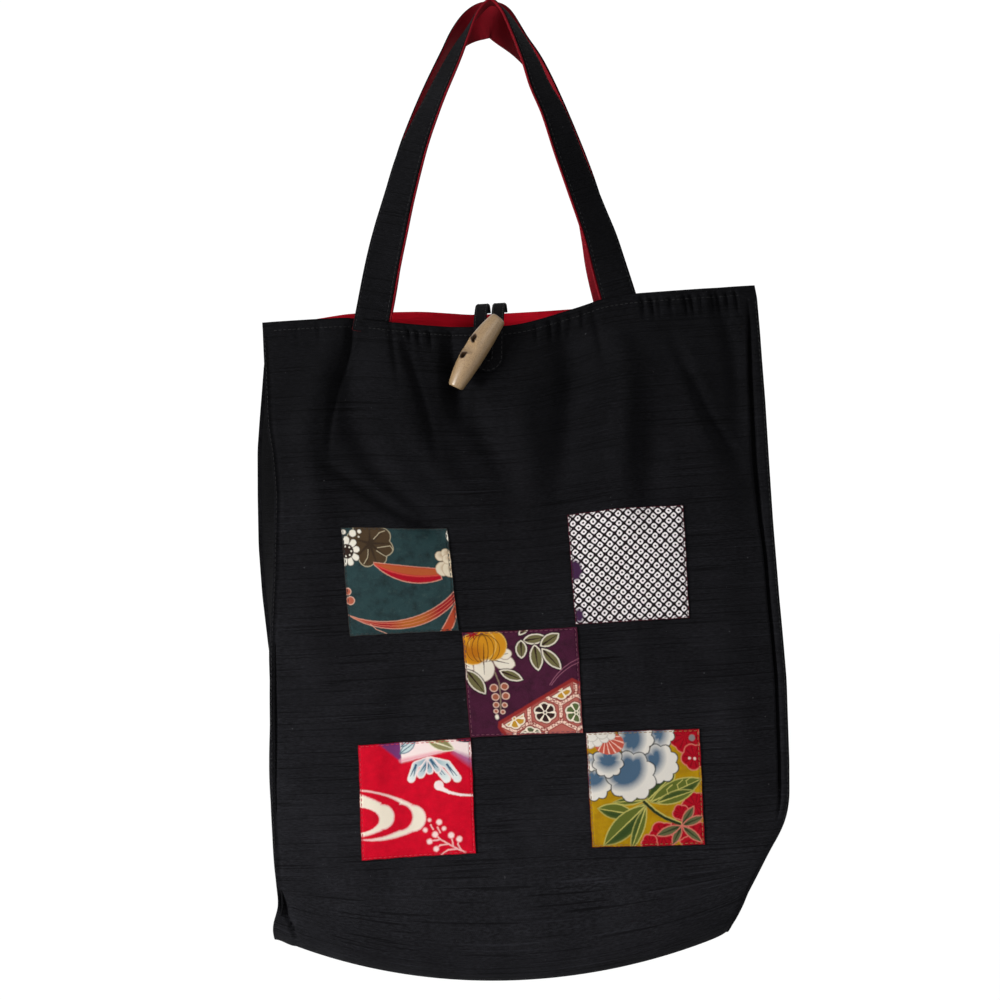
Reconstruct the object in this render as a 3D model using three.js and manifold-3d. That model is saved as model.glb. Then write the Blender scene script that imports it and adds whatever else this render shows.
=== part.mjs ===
// A patchwork tote bag hanging by its two handles, in millimetres, +Z up, front towards -Y.
// The origin is where the handles' crown rests on what holds them up.
import * as THREE from "three";
import { mergeVertices } from "three/addons/utils/BufferGeometryUtils.js";
import Module from "manifold-3d";

const wasm = await Module();
wasm.setup();

// Cloth
const CLOTH = 1.0; // black cotton with its interfacing
const LINING = 0.7; // red cotton
const PATCH_CLOTH = 0.6;
const GAP = 0.3; // between two pieces that lie on each other

// Body
const PANEL_WIDTH = 300; // side seam to side seam
const PANEL_HEIGHT = 387; // mouth line to base line
const FLANGE = 2.5; // sewn edge that stands out past each side seam
const MOUTH_DROP = 170; // origin to mouth line
const MOUTH_TILT = 3.5; // the right corner hangs this much above the mouth line, the left one below
const FRONT_DIP = 14; // how far the front edge sinks between the handles
const BACK_DIP = 5;
const DIP_REACH = 210; // the dip has died out this far down the cloth
const BACK_DEPTH = 32; // origin to the flat back
const MOUTH_FRONT = 10; // origin to the front at the mouth
const BELLY_FRONT = 38; // origin to the front where it is fullest
const BELLY_DROP = 250; // mouth to where the front is fullest
const SIDE_FALL = 8; // how far the front falls back at its side seams
const BASE_ROUND = 16; // radius where a panel turns under
const BASE_SAG = 26; // the base's middle hangs this much below its ends
const BASE_SAG_SHIFT = -12;
const SAG_START = 337; // the base's sag begins this far down the cloth
const SIDE_BULGE = 13; // how far a gusset swells out
const MOUTH_PINCH = 12; // how far a gusset folds in at the mouth
const BULGE_DROP = 150; // mouth to where a gusset is fullest
const TUCK_RISE = 62; // the right base corner slants in over this height
const TUCK_INSET = 34;
const FOLD_RISE = 4; // soft folds that hang from the handles' ends
const FOLD_WIDTH = 22;
const FOLD_LENGTH = 190;
const LINING_EASE = 5; // a lining's side edge to the side seam

// Patches: five squares in a block of three by three
const PATCH_SIZE = 70;
const PATCH_EASE = 0.4; // each edge is turned in by this much
const PATTERN_SHIFT = -3;
const PATTERN_DROP = 232; // mouth line to the middle of the block

// Handles
const HANDLE_SPREAD = 145; // leg to leg at the mouth
const HANDLE_SHIFT = -7;
const STRAP_WIDTH = 23; // lining strip
const STRAP_FACE = 19; // black strip on it
const CROWN_RISE = 10; // origin to the straps' middle at the crown
const LEG_REACH = 80; // lengths of the tangents that shape a leg
const LEG_LEAN = 15;
const CROWN_REACH = 26;
const REAR_BOW = 4; // the rear handle's legs stand this much wider
const FRONT_CROWN_Y = -13;
const REAR_CROWN_Y = 10;
const FRONT_TWIST = 85; // degrees, at the crown
const REAR_TWIST = 45;
const BASE_BLEND = 0.15; // share of a leg that turns from the mouth's line to the leg's own

// Closure
const LOOP_STRIP = 7; // width of the folded strip
const LOOP_CLOTH = 1.5;
const LOOP_SPREAD = 12.5; // leg to leg
const LOOP_SLANT = 5; // its back end is sewn on this much to the right of the toggle's shank
const LOOP_ARCH = 4; // how high the strip stands over the back edge
const LOOP_DROP = 30; // front edge to the loop's end
const TOGGLE_LENGTH = 50;
const TOGGLE_RADIUS = 8;
const TOGGLE_END_RADIUS = 5;
const TOGGLE_CHAMFER = 0.8;
const TOGGLE_BOW = 2; // its middle stands this much further from the cloth than its ends
const TOGGLE_TILT = 37; // degrees from upright
const TOGGLE_ROLL = 34; // degrees, how far its holes are turned to the left
const TOGGLE_X = -15.7; // shank
const TOGGLE_DROP = 18; // front edge to the shank
const SHANK = 4.5; // cloth to the back of the toggle at its holes
const HOLE_SPREAD = 12.4;
const HOLE_RADIUS = 1.7;
const SCOOP_RADIUS = 7;
const SCOOP_DEPTH = 2.4;
const CORD_RADIUS = 0.8;
const CORD_PINCH = 1.2; // the cord's two legs from the shank's middle
const CORD_EASE = 0.6; // the cord's bend to the cloth
const CORD_SINK = 2.6; // the cord's ends to the mouths of their holes

// Facets
const PATCH_STEPS = 3;
const UPPER_STEPS = 5;
const LOWER_STEPS = 4;
const SIDE_STEPS = 2;
const ROUND_STEPS = 4;
const GUSSET_STEPS = 4;
const STRAP_STEPS = 52;
const LOOP_STEPS = 14;
const LOOP_END_STEPS = 6;
const TOGGLE_SEGMENTS = 24;
const TOGGLE_STEPS = 8;
const CORD_STEPS = 36;
const CORD_SIDES = 8;

const HALF = PANEL_WIDTH / 2;
const FACE_LENGTH = PANEL_HEIGHT - BASE_ROUND;
const SEAM_Y = (BACK_DEPTH - BELLY_FRONT) / 2;
const BEHIND_CLOTH = CLOTH + GAP;

const materials = {
  black: new THREE.MeshStandardMaterial({ color: 0x19191c, roughness: 0.95, metalness: 0 }),
  red: new THREE.MeshStandardMaterial({ color: 0xaa0a28, roughness: 0.85, metalness: 0 }),
  teal: new THREE.MeshStandardMaterial({ color: 0x2d484b, roughness: 0.8, metalness: 0 }),
  kanoko: new THREE.MeshStandardMaterial({ color: 0x877d7f, roughness: 0.8, metalness: 0 }),
  plum: new THREE.MeshStandardMaterial({ color: 0x3c1932, roughness: 0.8, metalness: 0 }),
  scarlet: new THREE.MeshStandardMaterial({ color: 0xc80a23, roughness: 0.8, metalness: 0 }),
  mustard: new THREE.MeshStandardMaterial({ color: 0xaa8c16, roughness: 0.8, metalness: 0 }),
  wood: new THREE.MeshStandardMaterial({ color: 0xaa9678, roughness: 0.45, metalness: 0 }),
};

const bag = new THREE.Group();

function add(name, geometry, material) {
  const mesh = new THREE.Mesh(geometry, material);
  mesh.name = name;
  bag.add(mesh);
  return mesh;
}

const clamp01 = (t) => Math.min(1, Math.max(0, t));
const smooth = (t) => clamp01(t) ** 2 * (3 - 2 * clamp01(t));
const lerp = THREE.MathUtils.lerp;
const radians = THREE.MathUtils.degToRad;

// Evenly spaced values from a to b, without b.
function spaced(a, b, steps) {
  return Array.from({ length: steps }, (_, i) => lerp(a, b, i / steps));
}

// Six times the volume inside a closed set of triangles.
function signedVolume(points, triangles) {
  let sum = 0;
  for (let i = 0; i < triangles.length; i += 3) {
    const [a, b, c] = [points[triangles[i]], points[triangles[i + 1]], points[triangles[i + 2]]];
    sum += a.dot(new THREE.Vector3().crossVectors(b, c));
  }
  return sum;
}

function closedGeometry(points, triangles) {
  const faces = signedVolume(points, triangles) < 0 ? [...triangles].reverse() : triangles;
  const geometry = new THREE.BufferGeometry().setFromPoints(points);
  geometry.setIndex(faces);
  geometry.computeVertexNormals();
  return geometry;
}

// A closed piece of cloth between two like grids of points, each given as a function of column and row.
function cloth(columns, rows, face, back) {
  const points = [];
  for (const side of [face, back])
    for (let j = 0; j < rows; j++) {
      for (let i = 0; i < columns; i++) points.push(side(i, j));
    }
  const at = (i, j, side) => side * rows * columns + j * columns + i;
  const triangles = [];
  const quad = (a, b, c, d) => triangles.push(a, b, c, a, c, d);
  for (let j = 0; j + 1 < rows; j++)
    for (let i = 0; i + 1 < columns; i++) {
      quad(at(i, j, 0), at(i + 1, j, 0), at(i + 1, j + 1, 0), at(i, j + 1, 0));
      quad(at(i, j, 1), at(i, j + 1, 1), at(i + 1, j + 1, 1), at(i + 1, j, 1));
    }
  const edge = (p, q) => quad(at(...p, 1), at(...q, 1), at(...q, 0), at(...p, 0));
  for (let i = 0; i + 1 < columns; i++) {
    edge([i, 0], [i + 1, 0]);
    edge([i + 1, rows - 1], [i, rows - 1]);
  }
  for (let j = 0; j + 1 < rows; j++) {
    edge([columns - 1, j], [columns - 1, j + 1]);
    edge([0, j + 1], [0, j]);
  }
  return closedGeometry(points, triangles);
}

// The body as it hangs. x runs across a panel and drop down its cloth from the mouth.
const legX = [-1, 1].map((side) => HANDLE_SHIFT + (side * HANDLE_SPREAD) / 2);
const dipHalf = (HANDLE_SPREAD - STRAP_WIDTH) / 2;

function mouthDip(x) {
  return clamp01(1 - ((x - HANDLE_SHIFT) / dipHalf) ** 2) ** 2;
}

function baseSag(x) {
  return BASE_SAG * clamp01(1 - ((x - BASE_SAG_SHIFT) / (HALF - Math.abs(BASE_SAG_SHIFT))) ** 2);
}

function hangZ(x, drop, dip) {
  const tilt = (MOUTH_TILT * x) / HALF;
  const mouth = tilt * (1 - drop / FACE_LENGTH) - dip * mouthDip(x) * clamp01(1 - drop / DIP_REACH);
  const sag = baseSag(x) * smooth((drop - SAG_START) / (FACE_LENGTH - SAG_START));
  return -MOUTH_DROP - drop + mouth - sag;
}

function frontY(x, drop) {
  const fullness = lerp(MOUTH_FRONT, BELLY_FRONT, smooth(drop / BELLY_DROP));
  const fall = SIDE_FALL * (x / HALF) ** 4;
  const hang = FOLD_RISE * Math.sin(Math.PI * clamp01(drop / FOLD_LENGTH));
  const folds = legX.reduce((sum, leg) => sum + Math.exp(-(((x - leg) / FOLD_WIDTH) ** 2)), 0);
  return -fullness + fall - hang * folds;
}

// A panel runs down its face, round the base's edge and under to the seam along the middle of the base.
const front = { dip: FRONT_DIP, y: frontY, inward: 1 };
const back = { dip: BACK_DIP, y: () => BACK_DEPTH, inward: -1 };

function panelRows(drops) {
  const rows = [...drops, FACE_LENGTH].map((drop) => ({ drop, turn: 0, under: 0 }));
  for (let k = 1; k <= ROUND_STEPS; k++)
    rows.push({ drop: FACE_LENGTH, turn: ((Math.PI / 2) * k) / ROUND_STEPS, under: 0 });
  rows.push({ drop: FACE_LENGTH, turn: Math.PI / 2, under: 1 });
  return rows;
}

// A point of a panel, inset from its outer face.
function panelPoint(panel, x, row, inset) {
  const z = hangZ(x, row.drop, panel.dip);
  const y = panel.y(x, row.drop);
  const radius = BASE_ROUND - inset;
  const centre = y + panel.inward * BASE_ROUND;
  const round = centre - panel.inward * radius * Math.cos(row.turn);
  const seam = SEAM_Y - (panel.inward * GAP) / 2;
  return new THREE.Vector3(x, lerp(round, seam, row.under), z - radius * Math.sin(row.turn));
}

// Half the panel's width at a row: the right base corner is tucked in.
function sideX(side, row) {
  const low = row.drop + BASE_ROUND * Math.sin(row.turn);
  const tuck = side > 0 ? TUCK_INSET * clamp01(1 - (PANEL_HEIGHT - low) / TUCK_RISE) : 0;
  return side * (HALF - tuck);
}

const patternLeft = PATTERN_SHIFT - 1.5 * PATCH_SIZE;
const patternRight = PATTERN_SHIFT + 1.5 * PATCH_SIZE;
const patternTop = PATTERN_DROP - 1.5 * PATCH_SIZE;
const patternLines = spaced(0, 3 * PATCH_SIZE, 3 * PATCH_STEPS);

// The columns of a panel at a row, out to the side seams and past them by an edge.
function columnsAt(row, edge) {
  const left = sideX(-1, row) - edge;
  const right = sideX(1, row) + edge;
  return [
    ...spaced(left, patternLeft, SIDE_STEPS),
    ...patternLines.map((d) => patternLeft + d),
    ...spaced(patternRight, right, SIDE_STEPS),
    right,
  ];
}

const patternDrops = patternLines.map((d) => patternTop + d);
const patternBottom = patternTop + 3 * PATCH_SIZE;
const tuckDrop = PANEL_HEIGHT - TUCK_RISE;
const frontDrops = [
  ...spaced(0, patternTop, UPPER_STEPS),
  ...patternDrops,
  ...spaced(patternBottom, FACE_LENGTH, LOWER_STEPS),
  tuckDrop,
].sort((a, b) => a - b);
const frontRows = panelRows(frontDrops);
const backRows = panelRows([0, tuckDrop]);

function panel(side, rows, edge, inset, thickness) {
  const columns = rows.map((row) => columnsAt(row, edge));
  const skin = (depth) => (i, j) => panelPoint(side, columns[j][i], rows[j], depth);
  return cloth(columns[0].length, rows.length, skin(inset), skin(inset + thickness));
}

add("front_panel", panel(front, frontRows, FLANGE, 0, CLOTH), materials.black);
add("back_panel", panel(back, backRows, FLANGE, 0, CLOTH), materials.black);
add("front_lining", panel(front, frontRows, -LINING_EASE, BEHIND_CLOTH, LINING), materials.red);
add("back_lining", panel(back, backRows, -LINING_EASE, BEHIND_CLOTH, LINING), materials.red);

// A gusset spans from the front panel to the back panel: folded in at the mouth, swollen out below.
const gussetRows = frontRows.filter((row) => row.under === 0);
const stations = [...spaced(0, 1, GUSSET_STEPS), 1];

// A point of a gusset's layer: at a station across its depth, inset from its outer face.
function gussetPoint(side, t, row, inset) {
  const x = sideX(side, row);
  const start = panelPoint(front, x, row, BEHIND_CLOTH);
  const end = panelPoint(back, x, row, BEHIND_CLOTH);
  const swell = lerp(-MOUTH_PINCH, SIDE_BULGE, smooth(row.drop / BULGE_DROP)) * Math.cos(row.turn);
  const point = start.lerp(end, t);
  point.x += side * (swell * 4 * t * (1 - t) - inset);
  return point;
}

function gusset(side, inset, thickness) {
  const skin = (depth) => (i, j) => gussetPoint(side, stations[i], gussetRows[j], depth);
  return cloth(stations.length, gussetRows.length, skin(inset), skin(inset + thickness));
}

for (const [name, side] of [["left", -1], ["right", 1]]) {
  add(`${name}_gusset`, gusset(side, 0, CLOTH), materials.black);
  add(`${name}_gusset_lining`, gusset(side, BEHIND_CLOTH, LINING), materials.red);
}

// Patches: the corners and the middle of the block, on the front panel's own grid.
function patch(column, row) {
  const ease = (k) => (k === 0 ? PATCH_EASE : k === PATCH_STEPS ? -PATCH_EASE : 0);
  const line = (start, n, k) => start + (n + k / PATCH_STEPS) * PATCH_SIZE + ease(k);
  const point = (lift) => (i, j) => {
    const at = { drop: line(patternTop, row, j), turn: 0, under: 0 };
    return panelPoint(front, line(patternLeft, column, i), at, -lift);
  };
  return cloth(PATCH_STEPS + 1, PATCH_STEPS + 1, point(GAP + PATCH_CLOTH), point(GAP));
}

add("teal_patch", patch(0, 0), materials.teal);
add("kanoko_patch", patch(2, 0), materials.kanoko);
add("plum_patch", patch(1, 1), materials.plum);
add("red_patch", patch(0, 2), materials.scarlet);
add("mustard_patch", patch(2, 2), materials.mustard);

// Handles: two-ply straps that stand on the mouth and turn about their own line as they rise to the crown.
const frontHandle = { facing: -1, bow: 0, crownY: FRONT_CROWN_Y, twist: FRONT_TWIST };
frontHandle.baseY = legX.map((x) => frontY(x, 0) - GAP);
const rearHandle = { facing: 1, bow: REAR_BOW, crownY: REAR_CROWN_Y, twist: REAR_TWIST };
rearHandle.baseY = legX.map(() => BACK_DEPTH + GAP);

const mouthLine = new THREE.Vector3(HALF, 0, MOUTH_TILT).normalize();

// One leg's middle line in the XZ plane, from the mouth to the crown.
function legCurve(handle, leg) {
  const side = leg === 0 ? -1 : 1;
  const x = legX[leg];
  const foot = hangZ(x, 0, 0) + GAP;
  return new THREE.CubicBezierCurve(
    new THREE.Vector2(x, foot),
    new THREE.Vector2(x - side * (LEG_LEAN - handle.bow), foot + LEG_REACH),
    new THREE.Vector2(side * (CROWN_REACH + handle.bow), CROWN_RISE),
    new THREE.Vector2(0, CROWN_RISE),
  );
}

// A point of a strap. along runs from 0 at the left foot to 1 at the right one, across over its width,
// and inset from its black face.
function strapPoint(handle, along, across, inset) {
  const leg = along <= 0.5 ? 0 : 1;
  const rise = leg === 0 ? 2 * along : 2 - 2 * along;
  const curve = legCurve(handle, leg);
  const middle = curve.getPointAt(rise);
  const tangent = curve.getTangentAt(rise).multiplyScalar(leg === 0 ? 1 : -1);
  const ahead = new THREE.Vector3(0, 1, 0);
  const own = new THREE.Vector3(-tangent.y, 0, tangent.x);
  const foot = mouthLine.clone().multiplyScalar(leg === 0 ? -1 : 1);
  const outward = foot.lerp(own, smooth(rise / BASE_BLEND)).normalize();
  const turn = radians(handle.twist) * rise;
  const width = outward.clone().multiplyScalar(Math.cos(turn));
  width.addScaledVector(ahead, -handle.facing * Math.sin(turn));
  const normal = outward.clone().multiplyScalar(Math.sin(turn));
  normal.addScaledVector(ahead, handle.facing * Math.cos(turn));
  const y = lerp(handle.baseY[leg], handle.crownY, smooth(rise));
  return new THREE.Vector3(middle.x, y, middle.y)
    .addScaledVector(width, across)
    .addScaledVector(normal, -inset);
}

function strap(handle, width, inset, thickness) {
  const edges = [-width / 2, 0, width / 2];
  const skin = (depth) => (i, j) => strapPoint(handle, j / STRAP_STEPS, edges[i], depth);
  return cloth(edges.length, STRAP_STEPS + 1, skin(inset), skin(inset + thickness));
}

for (const [name, handle] of [["front", frontHandle], ["rear", rearHandle]]) {
  add(`${name}_handle_outer`, strap(handle, STRAP_FACE, 0, CLOTH), materials.black);
  add(`${name}_handle_lining`, strap(handle, STRAP_WIDTH, BEHIND_CLOTH, LINING), materials.red);
}

// Closure loop: a hairpin of folded strip from the back edge, over the mouth and down the front.
const loopX = TOGGLE_X + LOOP_SLANT / 2;

function loopPath() {
  const lift = GAP + LOOP_CLOTH / 2;
  const reach = (LOOP_SPREAD + LOOP_STRIP + LOOP_SLANT) / 2;
  const edge = (dip) => Math.max(...[-reach, 0, reach].map((dx) => hangZ(loopX + dx, 0, dip)));
  const behind = BACK_DEPTH - BEHIND_CLOTH;
  const over = frontY(loopX, 0) - lift;
  const top = edge(BACK_DIP) + LOOP_ARCH;
  const onFront = (drop) => new THREE.Vector3(0, frontY(loopX, drop) - lift, hangZ(loopX, drop, FRONT_DIP));
  return new THREE.CatmullRomCurve3(
    [
      new THREE.Vector3(0, behind, edge(BACK_DIP) + GAP),
      new THREE.Vector3(0, behind, top - LOOP_CLOTH),
      new THREE.Vector3(0, behind - LOOP_ARCH, top + LOOP_CLOTH),
      new THREE.Vector3(0, lerp(behind, over, 0.5), top),
      new THREE.Vector3(0, over + LOOP_ARCH, edge(FRONT_DIP) + 1.5 * LOOP_ARCH),
      new THREE.Vector3(0, over, edge(FRONT_DIP) + LOOP_CLOTH),
      onFront(LOOP_DROP / 3),
      onFront(LOOP_DROP),
    ],
    false,
    "centripetal",
  );
}

// A point of the loop: along the hairpin, across its strip, and lifted from its middle.
function loopGrid() {
  const path = loopPath();
  const length = path.getLength();
  const bend = LOOP_SPREAD / 2;
  const straight = length - bend - LOOP_STRIP / 2;
  const outline = [];
  for (const s of spaced(0, straight, LOOP_STEPS)) outline.push([-bend, s, -1, 0]);
  for (let k = 0; k <= LOOP_END_STEPS; k++) {
    const angle = Math.PI * (1 - k / LOOP_END_STEPS);
    const [c, s] = [Math.cos(angle), Math.sin(angle)];
    outline.push([bend * c, straight + bend * s, c, s]);
  }
  for (const s of spaced(0, straight, LOOP_STEPS).reverse()) outline.push([bend, s, 1, 0]);
  return (lift) => (i, j) => {
    const [x, s, outX, outS] = outline[j];
    const across = (i - 0.5) * LOOP_STRIP;
    const t = clamp01((s + across * outS) / length);
    const tangent = path.getTangentAt(t);
    const normal = new THREE.Vector3(0, tangent.z, -tangent.y);
    const point = path.getPointAt(t).addScaledVector(normal, lift);
    point.x = TOGGLE_X + LOOP_SLANT * (1 - t) + x + across * outX;
    return point;
  };
}

const loopSkin = loopGrid();
const loopRows = 2 * LOOP_STEPS + LOOP_END_STEPS + 1;
const loopSolid = cloth(2, loopRows, loopSkin(LOOP_CLOTH / 2), loopSkin(-LOOP_CLOTH / 2));
add("closure_loop", loopSolid, materials.black);

// Toggle: a bowed spindle with two drilled holes and a scoop between them.
function solidOf(geometry) {
  const bare = geometry.clone();
  bare.deleteAttribute("normal");
  bare.deleteAttribute("uv");
  const merged = mergeVertices(bare, 1e-4);
  const vertProperties = merged.attributes.position.array;
  return new wasm.Manifold(new wasm.Mesh({ numProp: 3, vertProperties, triVerts: merged.index.array }));
}

function geometryOf(solid) {
  const mesh = solid.getMesh();
  const geometry = new THREE.BufferGeometry();
  geometry.setAttribute("position", new THREE.BufferAttribute(mesh.vertProperties, 3));
  geometry.setIndex(new THREE.BufferAttribute(mesh.triVerts, 1));
  geometry.computeVertexNormals();
  return geometry;
}

// In the toggle's own frame its axis is Y, its holes run along Z and the cloth lies towards -Z.
function spindle() {
  const half = TOGGLE_LENGTH / 2;
  const profile = [new THREE.Vector2(0, -half), new THREE.Vector2(TOGGLE_END_RADIUS - TOGGLE_CHAMFER, -half)];
  for (let k = 0; k <= TOGGLE_STEPS; k++) {
    const t = (2 * k) / TOGGLE_STEPS - 1;
    const radius = lerp(TOGGLE_RADIUS, TOGGLE_END_RADIUS, t * t);
    profile.push(new THREE.Vector2(radius, t * (half - TOGGLE_CHAMFER)));
  }
  profile.push(new THREE.Vector2(TOGGLE_END_RADIUS - TOGGLE_CHAMFER, half), new THREE.Vector2(0, half));
  const turned = new THREE.LatheGeometry(profile, TOGGLE_SEGMENTS);
  const points = turned.attributes.position;
  for (let i = 0; i < points.count; i++) {
    const bow = TOGGLE_BOW * (points.getY(i) / half) ** 2;
    points.setZ(i, points.getZ(i) - bow);
  }
  return solidOf(turned);
}

function toggleGeometry() {
  const through = 3 * TOGGLE_RADIUS;
  let solid = spindle();
  for (const side of [-1, 1]) {
    const hole = new THREE.CylinderGeometry(HOLE_RADIUS, HOLE_RADIUS, through, 12).rotateX(Math.PI / 2);
    solid = solid.subtract(solidOf(hole.translate(0, (side * HOLE_SPREAD) / 2, 0)));
  }
  const scoop = new THREE.CylinderGeometry(SCOOP_RADIUS, SCOOP_RADIUS, through, 24).rotateZ(Math.PI / 2);
  scoop.translate(0, 0, TOGGLE_RADIUS + SCOOP_RADIUS - SCOOP_DEPTH);
  return geometryOf(solid.subtract(solidOf(scoop)));
}

// The shank's frame: origin on the cloth, Z out of it, Y along the toggle.
const onFace = (x, drop) => panelPoint(front, x, { drop, turn: 0, under: 0 }, 0);
const shankAt = onFace(TOGGLE_X, TOGGLE_DROP);
const acrossCloth = onFace(TOGGLE_X + 1, TOGGLE_DROP).sub(shankAt);
const downCloth = onFace(TOGGLE_X, TOGGLE_DROP + 1).sub(shankAt);
const outOfCloth = new THREE.Vector3().crossVectors(downCloth, acrossCloth).normalize();
const upright = downCloth.clone().negate();
const alongToggle = upright.applyAxisAngle(outOfCloth, -radians(TOGGLE_TILT)).normalize();
const besideToggle = new THREE.Vector3().crossVectors(alongToggle, outOfCloth);
const shank = new THREE.Group();
shank.applyMatrix4(new THREE.Matrix4().makeBasis(besideToggle, alongToggle, outOfCloth).setPosition(shankAt));

const rolled = new THREE.Group();
rolled.position.z = SHANK;
rolled.rotation.y = -radians(TOGGLE_ROLL);
const toggle = new THREE.Mesh(toggleGeometry(), materials.wood);
toggle.name = "toggle";
toggle.position.z = TOGGLE_RADIUS;
rolled.add(toggle);
shank.add(rolled);

// The cord: one bent length whose middle is held at the shank and whose ends are fixed in the holes.
function cordGeometry() {
  const roll = new THREE.Vector3(-Math.sin(radians(TOGGLE_ROLL)), 0, Math.cos(radians(TOGGLE_ROLL)));
  const inHole = (side, depth) =>
    roll.clone().multiplyScalar(depth).add(new THREE.Vector3(0, (side * HOLE_SPREAD) / 2, SHANK));
  const leg = (side) => [
    inHole(side, 2 * TOGGLE_RADIUS - CORD_SINK),
    inHole(side, TOGGLE_RADIUS),
    inHole(side, -1.5 * CORD_RADIUS),
    new THREE.Vector3(0, side * CORD_PINCH, SHANK / 2),
  ];
  const bend = new THREE.Vector3(0, 0, CORD_EASE + CORD_RADIUS);
  const path = new THREE.CatmullRomCurve3([...leg(1), bend, ...leg(-1).reverse()], false, "centripetal");
  const ring = [];
  for (let k = 0; k < CORD_SIDES; k++) {
    const angle = (2 * Math.PI * k) / CORD_SIDES;
    ring.push(new THREE.Vector2(CORD_RADIUS * Math.cos(angle), CORD_RADIUS * Math.sin(angle)));
  }
  return new THREE.ExtrudeGeometry(new THREE.Shape(ring), { steps: CORD_STEPS, extrudePath: path });
}

const cord = new THREE.Mesh(cordGeometry(), materials.black);
cord.name = "toggle_cord";
shank.add(cord);
bag.add(shank);

export default bag;
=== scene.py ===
"""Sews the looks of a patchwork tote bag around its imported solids: slubbed black cotton,
a red lining, five printed patches, lined handles that meet at the crown, a cloth loop and
a turned wooden toggle."""

import functools
import math

import bpy
import numpy as np
from mathutils import Matrix, Vector


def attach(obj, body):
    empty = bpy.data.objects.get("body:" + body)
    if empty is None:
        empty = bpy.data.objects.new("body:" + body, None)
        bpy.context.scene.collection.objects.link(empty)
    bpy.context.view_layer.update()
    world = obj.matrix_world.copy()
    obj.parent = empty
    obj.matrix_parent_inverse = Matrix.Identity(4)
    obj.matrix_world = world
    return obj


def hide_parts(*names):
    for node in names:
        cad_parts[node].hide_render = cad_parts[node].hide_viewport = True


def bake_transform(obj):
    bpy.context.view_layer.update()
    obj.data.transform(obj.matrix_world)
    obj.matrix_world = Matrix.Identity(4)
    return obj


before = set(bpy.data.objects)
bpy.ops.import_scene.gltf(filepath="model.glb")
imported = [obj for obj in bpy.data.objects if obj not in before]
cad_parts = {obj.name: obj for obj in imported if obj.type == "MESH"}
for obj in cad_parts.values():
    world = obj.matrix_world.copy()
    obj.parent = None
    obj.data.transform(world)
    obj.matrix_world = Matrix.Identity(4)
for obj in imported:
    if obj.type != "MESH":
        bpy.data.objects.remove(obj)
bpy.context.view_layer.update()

bl_info = {
    "name": "Patchwork Tote Bag",
    "version": (1, 0, 0),
    "blender": (4, 5, 0),
    "location": "View3D > Sidebar > Tote Bag",
    "description": "Cloth, prints, stitching, handles and toggle of a hanging patchwork tote bag",
    "category": "Object",
}

MM = 0.001  # shapes are worked out in millimetres
PERCENT = 100.0
BLACK, WHITE = (0.0, 0.0, 0.0), (1.0, 1.0, 1.0)

# Cloth and the hang of the bag.
CLOTH, LINING, PATCH_CLOTH, GAP = 1.0, 0.7, 0.6, 0.3
HALF, FACE_LENGTH, PANEL_HEIGHT, FLANGE = 150.0, 371.0, 387.0, 2.5
MOUTH_DROP, MOUTH_TILT, DIP_REACH = 170.0, 3.5, 210.0
BACK_DEPTH, MOUTH_FRONT, BELLY_FRONT, BELLY_DROP, SIDE_FALL = 32.0, 10.0, 38.0, 250.0, 8.0
BASE_ROUND, BASE_SAG, BASE_SAG_SHIFT, SAG_START = 16.0, 26.0, -12.0, 337.0
STRAP_FOLD, STRAP_FOLD_WIDTH, STRAP_FOLD_LENGTH = 4.0, 22.0, 190.0
LINING_EASE, SEAM_Y, BEHIND_CLOTH = 9.0, -3.0, 1.3
LEG_X = (-79.5, 65.5)
HEM_DROP, PATCH_SEAM, PATCH_SIDE, GUSSET_WIDTH, UNDER_LENGTH = 5.5, 1.1, 68.0, 70.0, 25.0
BASE_FADE = 36.0  # folds die out over this length above the base's round
# How far from an edge a panel's mesh is fine, and its step there.
FINE_ROWS, FINE_COLUMNS = (18.0, 0.75), (15.0, 0.7)

# How far each mouth edge hangs below its straight line: places across the bag, then dips.
FRONT_EDGE = (
    (-150, -104, -94, -72.6, -56.3, -41.4, -28.8, -3.9, 8.9, 21.4, 33.9, 46.5, 57.5, 76.6, 150),
    (0, 1.2, 2.0, 6.4, 9.3, 11.5, 12.9, 14.3, 13.5, 11, 7.8, 5.3, 1.8, 0.2, 0),
)
BACK_EDGE = (
    (-150, -125, -101, -72, -54, -35, -22, -1, 21, 45, 70, 150),
    (0, -2.5, -4.6, -3.4, -2.3, 0.4, 2.3, 2.8, 3.2, 3.3, 1, 0),
)
# How far out each panel's side edges lie: drops below the mouth, then distances from the middle.
FRONT_LEFT = (
    (0, 61, 69, 80, 93, 108, 136, 160, 197, 233, 258, 282, 300, 322, 340, 358, 366, 376, 387),
    (
        152.6, 152.6, 152, 150.5, 149.7, 149, 150.5, 152, 155.2, 157.2, 158.2, 159.4, 159.8, 159.7,
        159.2, 158.4, 159.4, 162.8, 163,
    ),
)
FRONT_RIGHT = (
    (0, 5, 28, 71, 144, 192, 240, 288, 312, 322, 330, 342, 357, 371, 387),
    (152.5, 154, 154.7, 155, 154.4, 154.8, 156.3, 155.3, 154, 152, 148.4, 140.3, 131.5, 123, 115),
)
BACK_LEFT = (
    (0, 15, 23, 41, 60, 78, 109, 140, 171, 206, 250, 300, 387),
    (153, 155, 156.5, 158.8, 161.3, 163.5, 165, 166, 165.3, 163, 158, 154, 152.5),
)
BACK_RIGHT = ((0, 325, 387), (152.5, 152.5, 118.5))
# How far the middle of each gusset stands out from the straight line between its seams.
LEFT_SWELL = ((0, 50, 100, 150, 200, 260, 330, 371), (-12, -13, -11, -5, 2, 7, 8, 5))
RIGHT_SWELL = ((0, 60, 120, 200, 260, 310, 340, 371), (-12, -6, 0, 4, 5, 2, -2, -4))
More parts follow.
